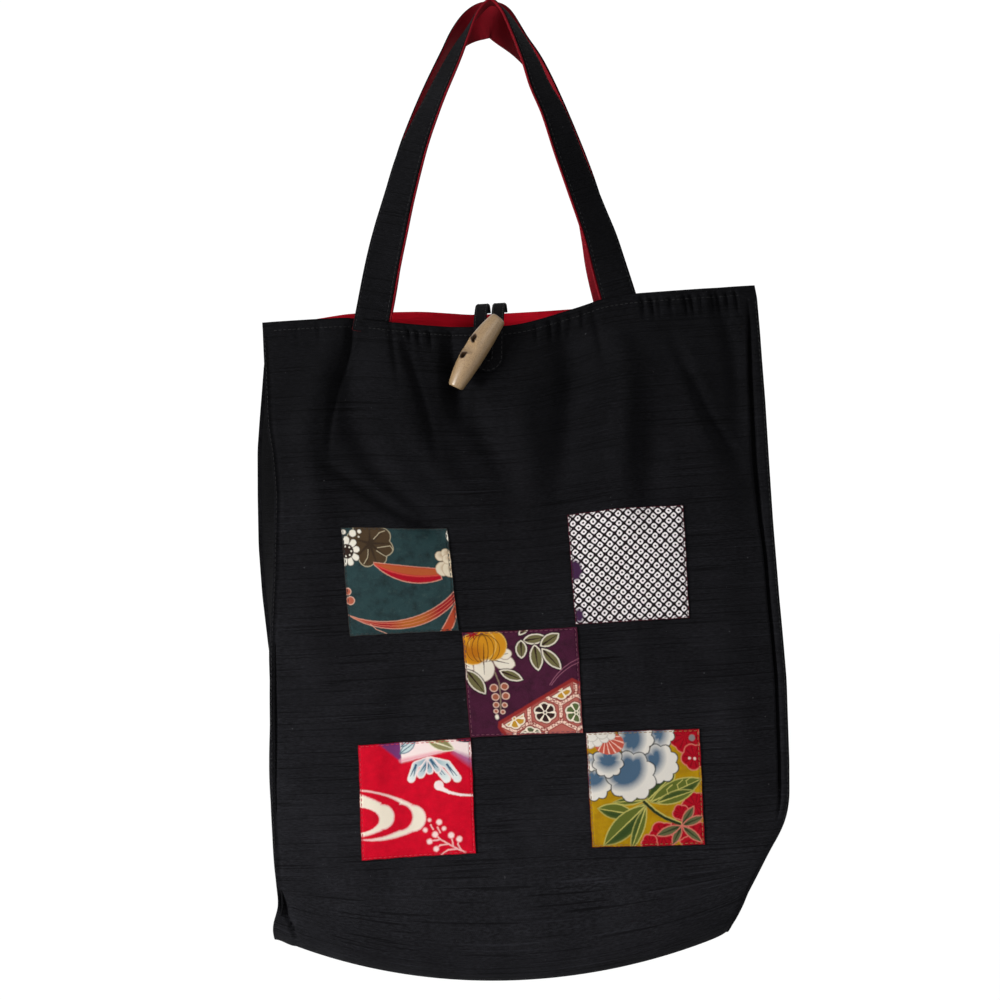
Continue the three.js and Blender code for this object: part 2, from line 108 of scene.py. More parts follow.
# The slit inside the right edge: drops, its middle's distance from the edge, its half width.
SLIT = ((0, 60, 110, 140, 165, 320), (5.5, 8.0, 9.0, 8.0, 6.5, 6.0), (1.2, 2.3, 2.5, 1.9, 1.5, 1.3))
# The crease of the boxed corner at the lower left: drops, then where it lies.
EAR_CREASE = ((346, 358, 366, 372, 378, 390), (-157.5, -156, -153.5, -150, -148.4, -148))

# Patches: corners on the front as (across, drop), clockwise from the top left.
PATCH_CORNERS = {
    "teal": ((-108.8, 130.6), (-44.3, 131.7), (-40.2, 196.9), (-106.1, 196.9)),
    "kanoko": ((28.8, 129.0), (99.5, 131.3), (98.9, 199.0), (30.0, 197.8)),
    "plum": ((-38.4, 198.3), (30.9, 199.6), (31.1, 263.3), (-36.7, 261.9)),
    "red": ((-104.4, 262.9), (-36.3, 262.5), (-36.9, 331.8), (-105.7, 332.6)),
    "mustard": ((32.6, 263.2), (101.2, 265.2), (100.9, 334.6), (32.9, 332.1)),
}

# Handles, loop and toggle.
STRAP_WIDTH, STRAP_FACE, STRAP_SHIFT = 23.0, 21.2, 0.7
LOOP_X, LOOP_STRIP, LOOP_CLOTH, LOOP_SPREAD = -14.6, 8.0, 1.5, 10.6
LOOP_SLANT, LOOP_ARCH, LOOP_DROP = 5.0, 2.8, 30.0
TOGGLE_LENGTH, TOGGLE_RADIUS, TOGGLE_END_RADIUS, TOGGLE_BOW = 50.0, 7.3, 4.7, 2.0
TOGGLE_TILT, TOGGLE_ROLL, TOGGLE_X, TOGGLE_DROP, SHANK = 35.0, 48.0, -17.4, 20.5, 4.5
HOLE_SPREAD, HOLE_RADIUS, SCOOP_RADIUS, SCOOP_DEPTH = 12.0, 2.3, 7.0, 2.8
TOGGLE_VOXEL = 0.32  # step of the toggle's own mesh
TOGGLE_SWEEP = 34.0  # no fold stands out within this reach of the toggle's cord
CORD_RADIUS, CORD_PINCH, CORD_EASE, CORD_SINK = 0.8, 1.2, 0.6, 2.6

# How many times deeper than their tables the folds and puckers are, how wide a pucker is,
# how deep the slit is and what share of its table's width it has.
FOLD_DEPTH, PUCKER_DEPTH, PUCKER_WIDTH, SLIT_DEPTH, SLIT_NARROW = 1.7, 2.3, 1.05, 8.0, 0.58
# Folds of the front: drops below the mouth, where the middle lies, the width, the heights.
FOLDS = (
    (
        (6, 36, 65, 95, 119, 150), (-108, -118, -128, -126, -121, -118), 10,
        (0, 2.2, 3.0, 2.6, 1.6, 0),
    ),
    (
        (2, 17, 37, 67, 98, 122, 150), (-94, -95, -101, -99, -84, -58, -40), 10,
        (-0.8, -3.4, -4.4, -4.0, -3.2, -2.4, 0),
    ),
    (
        (1, 6, 25, 44, 68, 92), (-96, -96.8, -101.2, -109, -113.5, -115), 1.9,
        (-1.2, -2.2, -2.6, -2.2, -1.4, 0),
    ),
    (
        (3, 19, 40, 70, 97, 120, 150), (-72, -71, -66, -62, -44, -22, -12), 11,
        (0, 1.7, 2.4, 2.2, 1.7, 1.0, 0),
    ),
    ((3, 16, 34, 50, 68), (-37, -37, -37, -36, -33), 5.5, (-1.0, -4.2, -5.6, -4.0, 0)),
    ((18, 34, 64, 96, 120), (-29, -28, -24, -8, 0), 9, (0, -2.8, -3.2, -1.6, 0)),
    ((8, 30, 66, 97, 130), (2, 4, 5, 6, 8), 11, (0, 2.4, 3.2, 1.8, 0)),
    ((2, 20, 47, 76, 105, 132), (32, 36, 37, 32, 26, 22), 10, (-1.6, -3.8, -4.4, -3.6, -2.0, 0)),
    ((12, 29, 50, 79, 108, 130), (66, 68, 70, 67, 64, 62), 8, (0, 1.6, 2.2, 2.2, 1.6, 0)),
    ((48, 75, 100, 125, 150), (85, 84, 82, 81, 80), 10, (0, -1.5, -2.2, -1.8, 0)),
    ((20, 53, 82, 112, 150), (104, 108, 113, 122, 126), 12, (0, 2.4, 2.8, 2.2, 0)),
    ((18, 40, 60, 80, 98, 116), (97, 104, 112, 119, 129, 138), 4.5, (0, -1.4, -2.4, -2.6, -2.0, 0)),
    ((4, 13, 34, 60, 110), (130, 131, 136, 138, 138), 6.0, (-0.6, -2.0, -2.6, -2.2, 0)),
    ((84, 96, 112, 125, 134), (-122, -108, -88, -68, -50), 7, (0, -2.0, -2.8, -2.4, 0)),
    ((3, 10, 29, 46), (-73, -72.5, -71, -69), 1.8, (-0.8, -1.4, -1.0, 0)),
    ((7, 12, 32, 59, 95), (-66, -65, -60, -53.5, -47), 2.8, (0, -1.2, -1.5, -1.4, 0)),
    ((2, 12, 32, 50), (51, 53, 56, 58), 2.2, (-0.5, -1.2, -0.8, 0)),
    ((80, 170, 280, 350), (-128, -130, -132, -132), 12, (0, 1.0, -0.8, 0)),
    ((110, 180, 260, 340), (120, 122, 124, 122), 14, (0, 1.3, 1.3, 0)),
    ((205, 230, 262, 300), (-70, -74, -80, -88), 9, (0, -1.0, -1.0, 0)),
    ((205, 235, 270), (64, 70, 80), 10, (0, 1.0, 0)),
    ((300, 330, 352), (-20, -6, 8), 12, (0, -1.2, 0)),
)
# Short puckers under the hem: where, how deep, how far they lean as they go down.
PUCKERS = (
    (-131, 0.5, 0), (-118, 0.6, 1), (-100, 0.6, 0), (-63, 1.2, 2), (-57, 1.0, 1), (-50, 1.1, 1),
    (-36, 0.8, 0), (16, 0.9, 0), (24, 1.2, 1), (31, 0.8, 0), (38, 1.0, -1), (45, 1.1, 0),
    (81.9, 1.3, 1), (87, 1.5, 2), (92, 0.8, 1), (99, 1.0, 1), (107.6, 1.5, 2), (111.5, 1.6, 2),
    (118, 0.8, 1), (124.9, 1.4, 1), (128, 1.5, 2), (134, 1.3, 2), (139.5, 1.2, 2),
)


# ------------------------------------------------------------------ settings


def colour_setting(name, about, red, green, blue):
    """A colour property, given as 0 to 255 in sRGB."""
    return bpy.props.FloatVectorProperty(
        name=name, description=about, subtype="COLOR", size=3, min=0, max=1,
        default=srgb(red, green, blue),
    )


def length_setting(name, about, millimetres):
    """A length property, given in millimetres."""
    return bpy.props.FloatProperty(
        name=name, description=about, subtype="DISTANCE", unit="LENGTH", min=0,
        default=millimetres * MM,
    )


def srgb(red, green, blue):
    """The linear colour for an sRGB one of 0 to 255."""
    shares = (c / 255 for c in (red, green, blue))
    return tuple(c / 12.92 if c <= 0.04045 else ((c + 0.055) / 1.055) ** 2.4 for c in shares)


class ToteSizes(bpy.types.PropertyGroup):
    """Sewing sizes of the bag."""

    stitch: length_setting("Stitch", "Length of one stitch", 2.1)
    stitch_gap: length_setting("Stitch gap", "Cloth between two stitches", 0.9)
    thread: length_setting("Thread", "Thickness of the sewing thread", 0.42)
    hem: length_setting("Hem", "Mouth edge to its line of stitches", HEM_DROP)
    patch_seam: length_setting("Patch seam", "Patch edge to its line of stitches", PATCH_SEAM)
    strap_seam: length_setting("Strap seam", "Edge of a handle's black strip to its stitches", 1.5)
    column: length_setting("Cloth column", "Width of one column of the cloth's mesh", 1.4)
    row: length_setting("Cloth row", "Height of one row of the cloth's mesh", 2.0)


class ToteColours(bpy.types.PropertyGroup):
    """Colours of the cloth, the grounds of the prints, the thread and the wood."""

    black: colour_setting("Black cotton", "Slubbed outer cloth", 28, 28, 31)
    black_slub: colour_setting("Black slub", "Thicker threads of the outer cloth", 54, 54, 60)
    lining: colour_setting("Red lining", "Lining of the bag", 212, 14, 38)
    # The handle lining is the lining's red darkened: painted shade for the shaded crown.
    strap_lining_painted_shade: colour_setting("Handle lining", "Red backs of the handles", 114, 7, 21)
    teal: colour_setting("Teal ground", "Ground of the teal print", 36, 58, 60)
    kanoko: colour_setting("Kanoko ground", "Ground between the dyed rings", 22, 10, 15)
    plum: colour_setting("Plum ground", "Ground of the plum print", 66, 22, 46)
    red: colour_setting("Red ground", "Ground of the red print", 200, 0, 34)
    mustard: colour_setting("Mustard ground", "Ground of the mustard print", 172, 132, 8)
    thread: colour_setting("Thread", "Sewing thread", 8, 8, 9)
    wood: colour_setting("Toggle wood", "Pale turned wood", 150, 124, 90)
    wood_grain: colour_setting("Toggle grain", "Darker grain of the wood", 112, 84, 54)
    cream: colour_setting("Cream ink", "Palest ink of the prints", 238, 226, 206)


# ------------------------------------------------------------------ shader sockets as values


class Value:
    """A shader socket that takes part in Python arithmetic."""

    def __init__(self, tree, socket=None):
        self.tree = tree
        self.socket = socket

    def node(self, kind, settings=None, sockets=None, output=0):
        """Adds a node, makes its settings, then gives its sockets values or links."""
        node = self.tree.nodes.new(kind)
        for key, setting in (settings or {}).items():
            setattr(node, key, setting)
        for key, value in (sockets or {}).items():
            if isinstance(value, Value):
                self.tree.links.new(value.socket, node.inputs[key])
            else:
                node.inputs[key].default_value = value
        return Value(self.tree, node.outputs[output])

    def maths(self, operation, *values, clamp=False):
        settings = {"operation": operation, "use_clamp": clamp}
        return self.node("ShaderNodeMath", settings, dict(enumerate((self, *values))))

    def vector(self, operation, *values, output=0):
        sockets = dict(enumerate((self, *values)))
        return self.node("ShaderNodeVectorMath", {"operation": operation}, sockets, output)

    def part(self, axis):
        """One component of a vector."""
        return self.vector("DOT_PRODUCT", tuple(float(k == axis) for k in range(3)), output=1)

    def scaled(self, factor):
        return self.node("ShaderNodeVectorMath", {"operation": "SCALE"}, {0: self, "Scale": factor})

    def levelled(self, gain, shift):
        """Multiplied and shifted, then held between 0 and 1."""
        return self.maths("MULTIPLY_ADD", gain, shift, clamp=True)

    def within(self, other):
        """Inside both of two motifs, given as distances from their edges."""
        return self.maths("MAXIMUM", other)

    def joined(self, other):
        """Inside either of two motifs."""
        return self.maths("MINIMUM", other)

    def mixed(self, colour, share):
        """This colour with a share of another one mixed in."""
        sockets = {0: share, 6: self, 7: opaque(colour)}
        return self.node("ShaderNodeMix", {"data_type": "RGBA"}, sockets, 2)

    def __add__(self, other):
        return self.maths("ADD", other)

    def __radd__(self, other):
        return self.maths("ADD", other)

    def __sub__(self, other):
        return self.maths("SUBTRACT", other)

    def __rsub__(self, other):
        return (self * -1.0).maths("ADD", other)

    def __mul__(self, other):
        return self.maths("MULTIPLY", other)

    def __rmul__(self, other):
        return self.maths("MULTIPLY", other)

    def __abs__(self):
        return self.maths("ABSOLUTE")


def opaque(colour):
    """A colour with its alpha, or a link as it is."""
    if isinstance(colour, Value) or len(colour) == 4:
        return colour
    return (*colour, 1.0)


def new_material(name):
    """A material with an empty tree, its principled shader and a value to build from."""
    material = bpy.data.materials.new(name)
    material.use_nodes = True
    tree = material.node_tree
    tree.nodes.clear()
    shader = tree.nodes.new("ShaderNodeBsdfPrincipled")
    output = tree.nodes.new("ShaderNodeOutputMaterial")
    tree.links.new(shader.outputs["BSDF"], output.inputs["Surface"])
    return material, shader, Value(tree)


def connect(value, shader, name):
    value.tree.links.new(value.socket, shader.inputs[name])


def shaded(share, first, second):
    """A colour that goes from the first to the second with the share."""
    sockets = {0: share, 6: opaque(first), 7: opaque(second)}
    return share.node("ShaderNodeMix", {"data_type": "RGBA"}, sockets, 2)


def surface(shader, colour, roughness, gloss):
    """Gives a shader its colour, its roughness and how much it shines."""
    connect(colour, shader, "Base Color")
    connect(roughness, shader, "Roughness")
    shader.inputs["Specular IOR Level"].default_value = gloss


def uv_place(start, scale):
    """The piece's own cloth coordinates, scaled."""
    return start.node("ShaderNodeTexCoord", output="UV").scaled(scale)


def noise(place, scale=1.0, detail=2.0, roughness=0.5):
    sockets = {"Vector": place, "Scale": scale, "Detail": detail, "Roughness": roughness}
    return place.node("ShaderNodeTexNoise", None, sockets, "Fac")


def drawn_out(place, across, down, detail, roughness=0.5):
    """Noise with each direction of the cloth at its own scale."""
    return noise(place.vector("MULTIPLY", (across, down, 1.0)), 1.0, detail, roughness)


def wandering(place, scale, detail, reach):
    """Places moved about by up to half a reach."""
    sockets = {"Vector": place, "Scale": scale, "Detail": detail}
    wander = place.node("ShaderNodeTexNoise", None, sockets, "Color")
    return place.vector("ADD", wander.vector("SUBTRACT", (0.5, 0.5, 0.5)).scaled(reach))


def weave(place, pitch):
    """Height of a plain weave whose threads lie a pitch apart, in the units of place."""
    turn = math.pi / pitch
    across = (place.part(0) * turn).maths("SINE")
    down = (place.part(1) * turn).maths("SINE")
    return abs(across) * 0.5 + abs(down) * 0.5 + (across * down) * 0.35


def bumped(shader, height, distance, strength):
    """Feeds a height in millimetres of relief to the shader's normal."""
    sockets = {"Height": height, "Distance": distance * MM, "Strength": strength}
    connect(height.node("ShaderNodeBump", None, sockets), shader, "Normal")


# ------------------------------------------------------------------ print motifs


class Print:
    """Lays inks on a patch, one motif after another, in percent of its side from the top left."""

    def __init__(self, place, ground):
        self.place = place
        self.colour = ground

    def lay(self, distance, ink, soft=0.55):
        """Inks where a distance is below zero."""
        inside = distance.levelled(-0.5 / soft, 0.5)
        self.colour = self.colour.mixed(ink, inside)

    def outlined(self, distance, ink, line, width):
        """Inks a motif inside an outline."""
        self.lay(distance, line)
        self.lay(distance + width, ink)

    def wear(self, ink, scale, share):
        """Clouds the ground with a worn tone."""
        cloud = noise(self.place, scale, 3.0, 0.6).levelled(4.0, -1.9)
        self.colour = self.colour.mixed(ink, cloud * share)

    def reach(self, centre):
        return self.place.vector("DISTANCE", (*centre, 0.0), output=1)

    def offset(self, centre):
        return self.place.vector("SUBTRACT", (*centre, 0.0))

    def bearing(self, centre):
        """The angle round a centre."""
        offset = self.offset(centre)
        return offset.part(1).maths("ARCTAN2", offset.part(0))

    def disc(self, centre, radius):
        return self.reach(centre) - radius

    def oval(self, centre, across, down):
        offset = self.offset(centre).vector("MULTIPLY", (1.0, across / down, 1.0))
        return offset.vector("LENGTH", output=1) - across

    def leaf(self, root, tip, width):
        """A lens from root to tip."""
        (ax, ay), (bx, by) = root, tip
        length = math.hypot(bx - ax, by - ay)
        radius = (length**2 / 4 + width**2 / 4) / width
        off = (radius - width / 2) / length
        x, y = (ax + bx) / 2, (ay + by) / 2
        dx, dy = off * (by - ay), off * (bx - ax)
        return self.reach((x + dx, y - dy)).within(self.reach((x - dx, y + dy))) - radius

    def stem(self, start, end, width):
        """A straight stroke with round ends."""
        return self.drop(start, end, width, width)

    def drop(self, start, end, first, last):
        """A stroke with round ends that swells or thins from its first width to its last."""
        run = (end[0] - start[0], end[1] - start[1], 0.0)
        size = run[0] ** 2 + run[1] ** 2
        offset = self.offset(start)
        share = offset.vector("DOT_PRODUCT", tuple(c / size for c in run), output=1)
        along = share.maths("ADD", 0.0, clamp=True)
        step = along.node("ShaderNodeVectorMath", {"operation": "SCALE"}, {0: run, 3: along})
        reach = offset.vector("DISTANCE", step, output=1)
        if first == last:
            return reach - first / 2
        return reach + along.maths("MULTIPLY_ADD", (first - last) / 2, -first / 2)

    def path(self, points, width):
        """A bent line through points."""
        strokes = [self.stem(start, end, width) for start, end in zip(points, points[1:])]
        return functools.reduce(Value.joined, strokes)

    def rounds(self, *arcs):
        """Inside all the circles, each through three places."""
        discs = [self.disc(*circle_through(*arc)) for arc in arcs]
        return functools.reduce(Value.within, discs)

    def arc(self, places, width):
        """A line along the circle through three places."""
        return abs(self.disc(*circle_through(*places))) - width / 2

    def side(self, start, end):
        """Below zero on the right hand of a line, seen with v down, walking from start to end."""
        dx, dy = end[0] - start[0], end[1] - start[1]
        length = math.hypot(dx, dy)
        normal = (dy / length, -dx / length, 0.0)
        shift = normal[0] * start[0] + normal[1] * start[1]
        return self.place.vector("DOT_PRODUCT", normal, output=1) - shift

    def facet(self, corners):
        """A convex patch of ink whose corners run clockwise as seen."""
        sides = [self.side(a, b) for a, b in zip(corners, corners[1:] + corners[:1])]
        return functools.reduce(Value.within, sides)

    def sickle(self, outer, inner):
        """Inside the circle through three outer places, outside the one through inner ones."""
        (oc, orad), (ic, irad) = circle_through(*outer), circle_through(*inner)
        return (self.reach(oc) - orad).within(irad - self.reach(ic))

    def blossom(self, centre, radius, petals, depth, turn=0.0):
        """A flower of round petals."""
        wave = abs((self.bearing(centre) * (petals / 2) + turn).maths("SINE"))
        return self.reach(centre) - (wave * (radius * depth) + radius * (1 - depth))

    def rays(self, centre, count, turn=0.0):
        """From -1 to 1 round a centre, a crest for each ray."""
        return (self.bearing(centre) * float(count) + turn).maths("SINE")


def circle_through(a, b, c):
    """Centre and radius of the circle through three places."""
    (ax, ay), (bx, by), (cx, cy) = a, b, c
    d = 2 * (ax * (by - cy) + bx * (cy - ay) + cx * (ay - by))
    sa, sb, sc = ax * ax + ay * ay, bx * bx + by * by, cx * cx + cy * cy
    x = (sa * (by - cy) + sb * (cy - ay) + sc * (ay - by)) / d
    y = (sa * (cx - bx) + sb * (ax - cx) + sc * (bx - ax)) / d
    return (x, y), math.hypot(ax - x, ay - y)


def teal_motifs(sheet, cream):
    """Autumn flowers and blowing ribbons."""
    brown, pale, rim = srgb(68, 52, 34), srgb(176, 164, 136), srgb(214, 158, 136)
    orange, red, white = srgb(176, 84, 44), srgb(166, 12, 34), srgb(226, 220, 206)
    sheet.wear(srgb(22, 30, 32), 0.09, 0.75)
    threadbare = noise(sheet.place, 0.16, 4.0, 0.7).levelled(5.0, -2.8)
    sheet.colour = sheet.colour.mixed(srgb(58, 78, 76), threadbare * 0.6)
    flower = sheet.blossom((26, 15), 22.5, 8, 0.14, 0.5)
    sheet.outlined(flower, brown, pale, 0.8)
    for tip in ((27, 2), (38, 5), (44, 15), (40, 27), (31, 34), (22, 33), (12, 28), (12, 11)):
        sheet.lay(sheet.drop((26, 15), tip, 3.4, 0.8), srgb(48, 36, 24), 0.9)
    for arc in (
        ((33, 19), (45, 17), (47.5, 21)), ((32, 22), (43, 29), (43, 33)),
        ((30, 11), (36, 5), (41, 3)), ((24, 21), (23, 28), (19, 34)),
    ):
        sheet.lay(sheet.path(arc, 0.7).within(flower), pale, 0.4)
    for tip in ((4, 11), (10.5, 14), (13, 20.5), (12, 28), (6.5, 32.5), (0, 33)):
        sheet.outlined(sheet.drop((4, 22), tip, 4, 6.6), white, srgb(70, 56, 44), 0.5)
    sheet.lay(sheet.disc((3.5, 22), 6.8), srgb(44, 30, 24))
    for k in range(7):
        turn = 2 * math.pi * k / 7
        seed = (3.5 + 4.6 * math.cos(turn), 22 + 4.6 * math.sin(turn))
        sheet.lay(sheet.disc(seed, 0.8), white, 0.4)
    for centre, radius in (((10.5, 5.5), 3.6), ((17, 4), 2.2), ((2, 4), 2.6), ((16, 9), 1.2)):
        sheet.outlined(sheet.disc(centre, radius), white, srgb(60, 50, 40), 0.4)
    upper = sheet.sickle(((28, 35), (50, 49.5), (93, 48.5)), ((29, 32.5), (60, 36), (88, 38.8)))
    upper = upper.within(sheet.facet([(28, 30), (90, 30), (90, 56), (28, 56)]))
    sheet.outlined(upper, red, rim, 0.7)
    centre, radius = circle_through((30, 34.5), (54, 43.5), (90, 44.5))
    sheet.lay((upper + 1.0).within(sheet.disc(centre, radius)), orange, 1.1)
    edge = abs(sheet.disc(centre, radius + 0.6)) - 0.6
    sheet.lay((upper + 1.0).within(edge), srgb(204, 74, 62), 0.6)
    tan = srgb(190, 160, 128)
    for place, wide in (
        ((90.5, 27), 4.8), ((96, 24.5), 4.6), ((92, 39.5), 7.0), ((99, 40), 8.0), ((97, 30), 5.0),
    ):
        sheet.outlined(sheet.disc(place, wide), srgb(226, 212, 186), tan, 0.5)
        sheet.lay(sheet.disc((place[0] + 1, place[1] - 1), wide * 0.35), tan, 2.2)
    sheet.lay(sheet.oval((100.5, 7.5), 2.6, 5.0), white)
    lower = sheet.sickle(((2, 82), (44, 95.6), (100, 72)), ((2, 81), (46, 87.3), (100, 61)))
    sheet.outlined(lower, srgb(150, 26, 34), rim, 0.7)
    glow = abs(sheet.side((60, 0), (60, 100))) - 16.0
    sheet.lay((lower + 1.0).within(glow * 0.08), srgb(166, 92, 36), 0.6)
    for arc in (((3, 81.6), (44, 90), (100, 65)), ((3, 82), (44, 92.6), (100, 68.5))):
        sheet.lay(sheet.arc(arc, 0.5).within(lower + 0.6), srgb(206, 120, 92), 0.4)
    tail = sheet.sickle(((101, 74), (99, 88), (92, 101)), ((97, 77), (90, 89), (82, 101)))
    sheet.outlined(tail, srgb(172, 66, 40), rim, 0.7)
    sheet.lay(sheet.path(((20, 90), (25, 95), (34, 99.5)), 0.6), rim, 0.4)
    for place, wide in (((1.5, 59), 3.4), ((3.5, 67.5), 4.0)):
        sheet.outlined(sheet.disc(place, wide), srgb(170, 88, 66), srgb(226, 190, 170), 0.6)


def kanoko_motifs(sheet, cream):
    """Rows of tie-dyed rings on a slanting grid."""
    place = sheet.place
    moved = wandering(place, 0.11, 1.0, 1.5)
    pitch = 6.15
    sockets = {"Vector": moved, "Angle": math.pi / 4}
    turned = moved.node("ShaderNodeVectorRotate", {"rotation_type": "Z_AXIS"}, sockets)
    cell = turned.scaled(1 / pitch).vector("FRACTION")
    cell = cell.vector("SUBTRACT", (0.5, 0.5, 0.0)).vector("ABSOLUTE")
    square = cell.part(0).maths("MAXIMUM", cell.part(1))
    round_ = cell.vector("MULTIPLY", (1.0, 1.0, 0.0)).vector("LENGTH", output=1)
    uneven = noise(place, 0.16, 1.0)
    ring = square * 0.55 + round_ * 0.45 - (uneven * 0.06 + 0.345)
    sheet.lay(ring * pitch, srgb(244, 238, 238), 0.3)
    sheet.lay((round_ - (uneven * 0.05 + 0.125)) * pitch, srgb(28, 14, 20), 0.3)
    violet = srgb(62, 34, 66)
    sheet.lay(sheet.oval((3, 51), 6, 9), violet, 1.2)
    sheet.lay(sheet.oval((3.5, 92), 4, 6), violet, 1.2)


def plum_motifs(sheet, cream):
    """A split fruit, leaves, a bud string and a fan with tortoise-shell cells."""
    gold, olive, dark = srgb(204, 138, 26), srgb(104, 98, 62), srgb(44, 24, 22)
    white, line = srgb(232, 222, 204), srgb(96, 52, 20)
    sheet.wear(srgb(38, 14, 28), 0.1, 0.7)
    for root, tip, width in (
        ((17, 24), (16.5, 48.5), 19), ((25, 28), (44.5, 34), 15), ((30, 24), (42, 22), 11),
        ((-6, 26), (8, 37), 10),
    ):
        sheet.outlined(sheet.leaf(root, tip, width), white, srgb(150, 120, 110), 0.6)
        vein_end = tuple(0.3 * a + 0.7 * b for a, b in zip(root, tip))
        sheet.lay(sheet.drop(root, vein_end, 1.4, 0.3), srgb(90, 70, 60), 0.4)
    lobes = (((26, 14), 12, 14.5), ((8, 17), 14, 15), ((17, 13), 12, 15))
    for centre, wide, tall in lobes:
        sheet.outlined(sheet.oval(centre, wide, tall), gold, srgb(226, 186, 96), 0.7)
    body = sheet.oval((17, 15.5), 19, 15)
    sheet.lay(sheet.oval((7, 21), 10, 9).within(body + 1.0), srgb(176, 104, 14), 5.0)
    for wide in (4.5, 9.5, 14.5):
        sheet.lay((abs(sheet.oval((17, 17), wide, 14)) - 0.3).within(body + 0.8), line, 0.4)
    sheet.lay(sheet.drop((17, 28), (18, 12), 1.2, 0.3), line, 0.4)
    for tip in ((3, 4.5), (5, 7.5), (10, 7), (14, 4), (13.5, 1), (4, 0.5)):
        sheet.lay(sheet.drop((9, 2), tip, 2.6, 0.6), srgb(150, 18, 24), 0.4)
    leaves = (
        ((52, 11), (72.5, 8), 10.5), ((67, 17), (84, 5), 11), ((50.5, 10), (50, 28), 10),
        ((62, 15), (64, 40), 11.5), ((68, 19), (84, 39.5), 10.5), ((1, 36), (16.5, 60), 12),
        ((30, 38.5), (50, 48), 9.5), ((49, 5), (58, -4), 6),
    )
    for root, tip, width in leaves:
        blade = sheet.leaf(root, tip, width)
        sheet.lay(blade - 0.9, srgb(30, 12, 20), 0.7)
        sheet.outlined(blade, olive, white, 1.1)
        sheet.lay(sheet.drop(root, tip, 2.2, 0.2).within(blade + 1.4), dark, 0.45)
    sheet.lay(sheet.path(((26, 40), (29, 50), (29.5, 62), (28.5, 78)), 1.1), srgb(140, 124, 100))
    buds = (
        (24, 54.5, 3.7), (33.5, 53.5, 3.5), (25, 63, 3.5), (34, 62.5, 3.5), (25, 70.5, 2.8),
        (32.5, 71, 2.5), (24.5, 76.5, 2.2), (30.5, 77.5, 2.2),
    )
    for x, y, radius in buds:
        sheet.outlined(sheet.disc((x, y), radius), srgb(158, 88, 64), srgb(232, 198, 180), 0.8)
    sheet.lay(sheet.oval((25, 82), 1.6, 2.4), white)
    border, rose = srgb(140, 40, 38), srgb(176, 96, 86)
    fan = sheet.facet([(26, 86.5), (93, 48), (104, 54), (104, 104), (32, 104), (25, 92)])
    sheet.lay(fan, border, 0.7)
    inner = fan + 3.4
    sheet.lay(inner, rose, 0.8)
    hexes(sheet, inner, cream)
    corner = sheet.facet([(73, 28), (101, 28), (101, 54), (73, 54)])
    for arc in (((73, 54), (84, 40), (101, 29.5)), ((76, 52), (86, 41.5), (101, 33))):
        sheet.lay(sheet.arc(arc, 0.7).within(corner), srgb(140, 84, 104), 0.4)


def hexes(sheet, inner, ink):
    """Six-sided cells with beaded borders, a flower in each."""
    pitch, middle = 28.0, (67.5, 80.0)
    tall = pitch * math.sqrt(3)
    offset = sheet.offset(middle)
    cells = []
    for shift in (0.0, 0.5):
        moved = offset.vector("SUBTRACT", (shift * pitch, shift * tall, 0.0))
        ends = {1: (pitch / 2, tall / 2, 1.0), 2: (-pitch / 2, -tall / 2, -1.0)}
        place = moved.node("ShaderNodeVectorMath", {"operation": "WRAP"}, {0: moved, **ends})
        near = place.vector("ABSOLUTE")
        slant = near.vector("DOT_PRODUCT", (0.5, math.sqrt(0.75), 0.0), output=1)
        cells.append(near.part(0).maths("MAXIMUM", slant))
    border = pitch / 2 - cells[0].maths("MINIMUM", cells[1])
    sheet.lay((border - 2.3).within(inner), srgb(138, 46, 42), 0.6)
    sockets = {"Vector": sheet.place, "Scale": 0.42, "Randomness": 0.5}
    beads = sheet.place.node("ShaderNodeTexVoronoi", None, sockets, "Distance")
    beads = (border - 1.5).within((beads - 0.56) * 2.4)
    sheet.lay(beads.within(inner), srgb(238, 206, 186), 0.4)
    flowers = (
        ((67.5, 79.5), srgb(50, 28, 26)), ((95, 80.5), srgb(84, 98, 54)),
        ((82, 58), srgb(190, 140, 40)), ((40, 84), srgb(190, 140, 40)),
        ((54, 102), srgb(84, 92, 60)),
    )
    for centre, petals in flowers:
        halo = sheet.blossom(centre, 11.0, 6, 0.12, 0.5).within(inner + 1.0)
        sheet.outlined(halo, ink, srgb(126, 44, 38), 0.9)
        spokes = (0.4 - abs(sheet.rays(centre, 3))) * 7.0
        sheet.lay(spokes.within(halo + 2.2), petals, 0.6)
        sheet.lay(sheet.disc(centre, 2.0).within(inner), ink, 0.5)
        sheet.lay(sheet.disc(centre, 1.0).within(inner), petals)


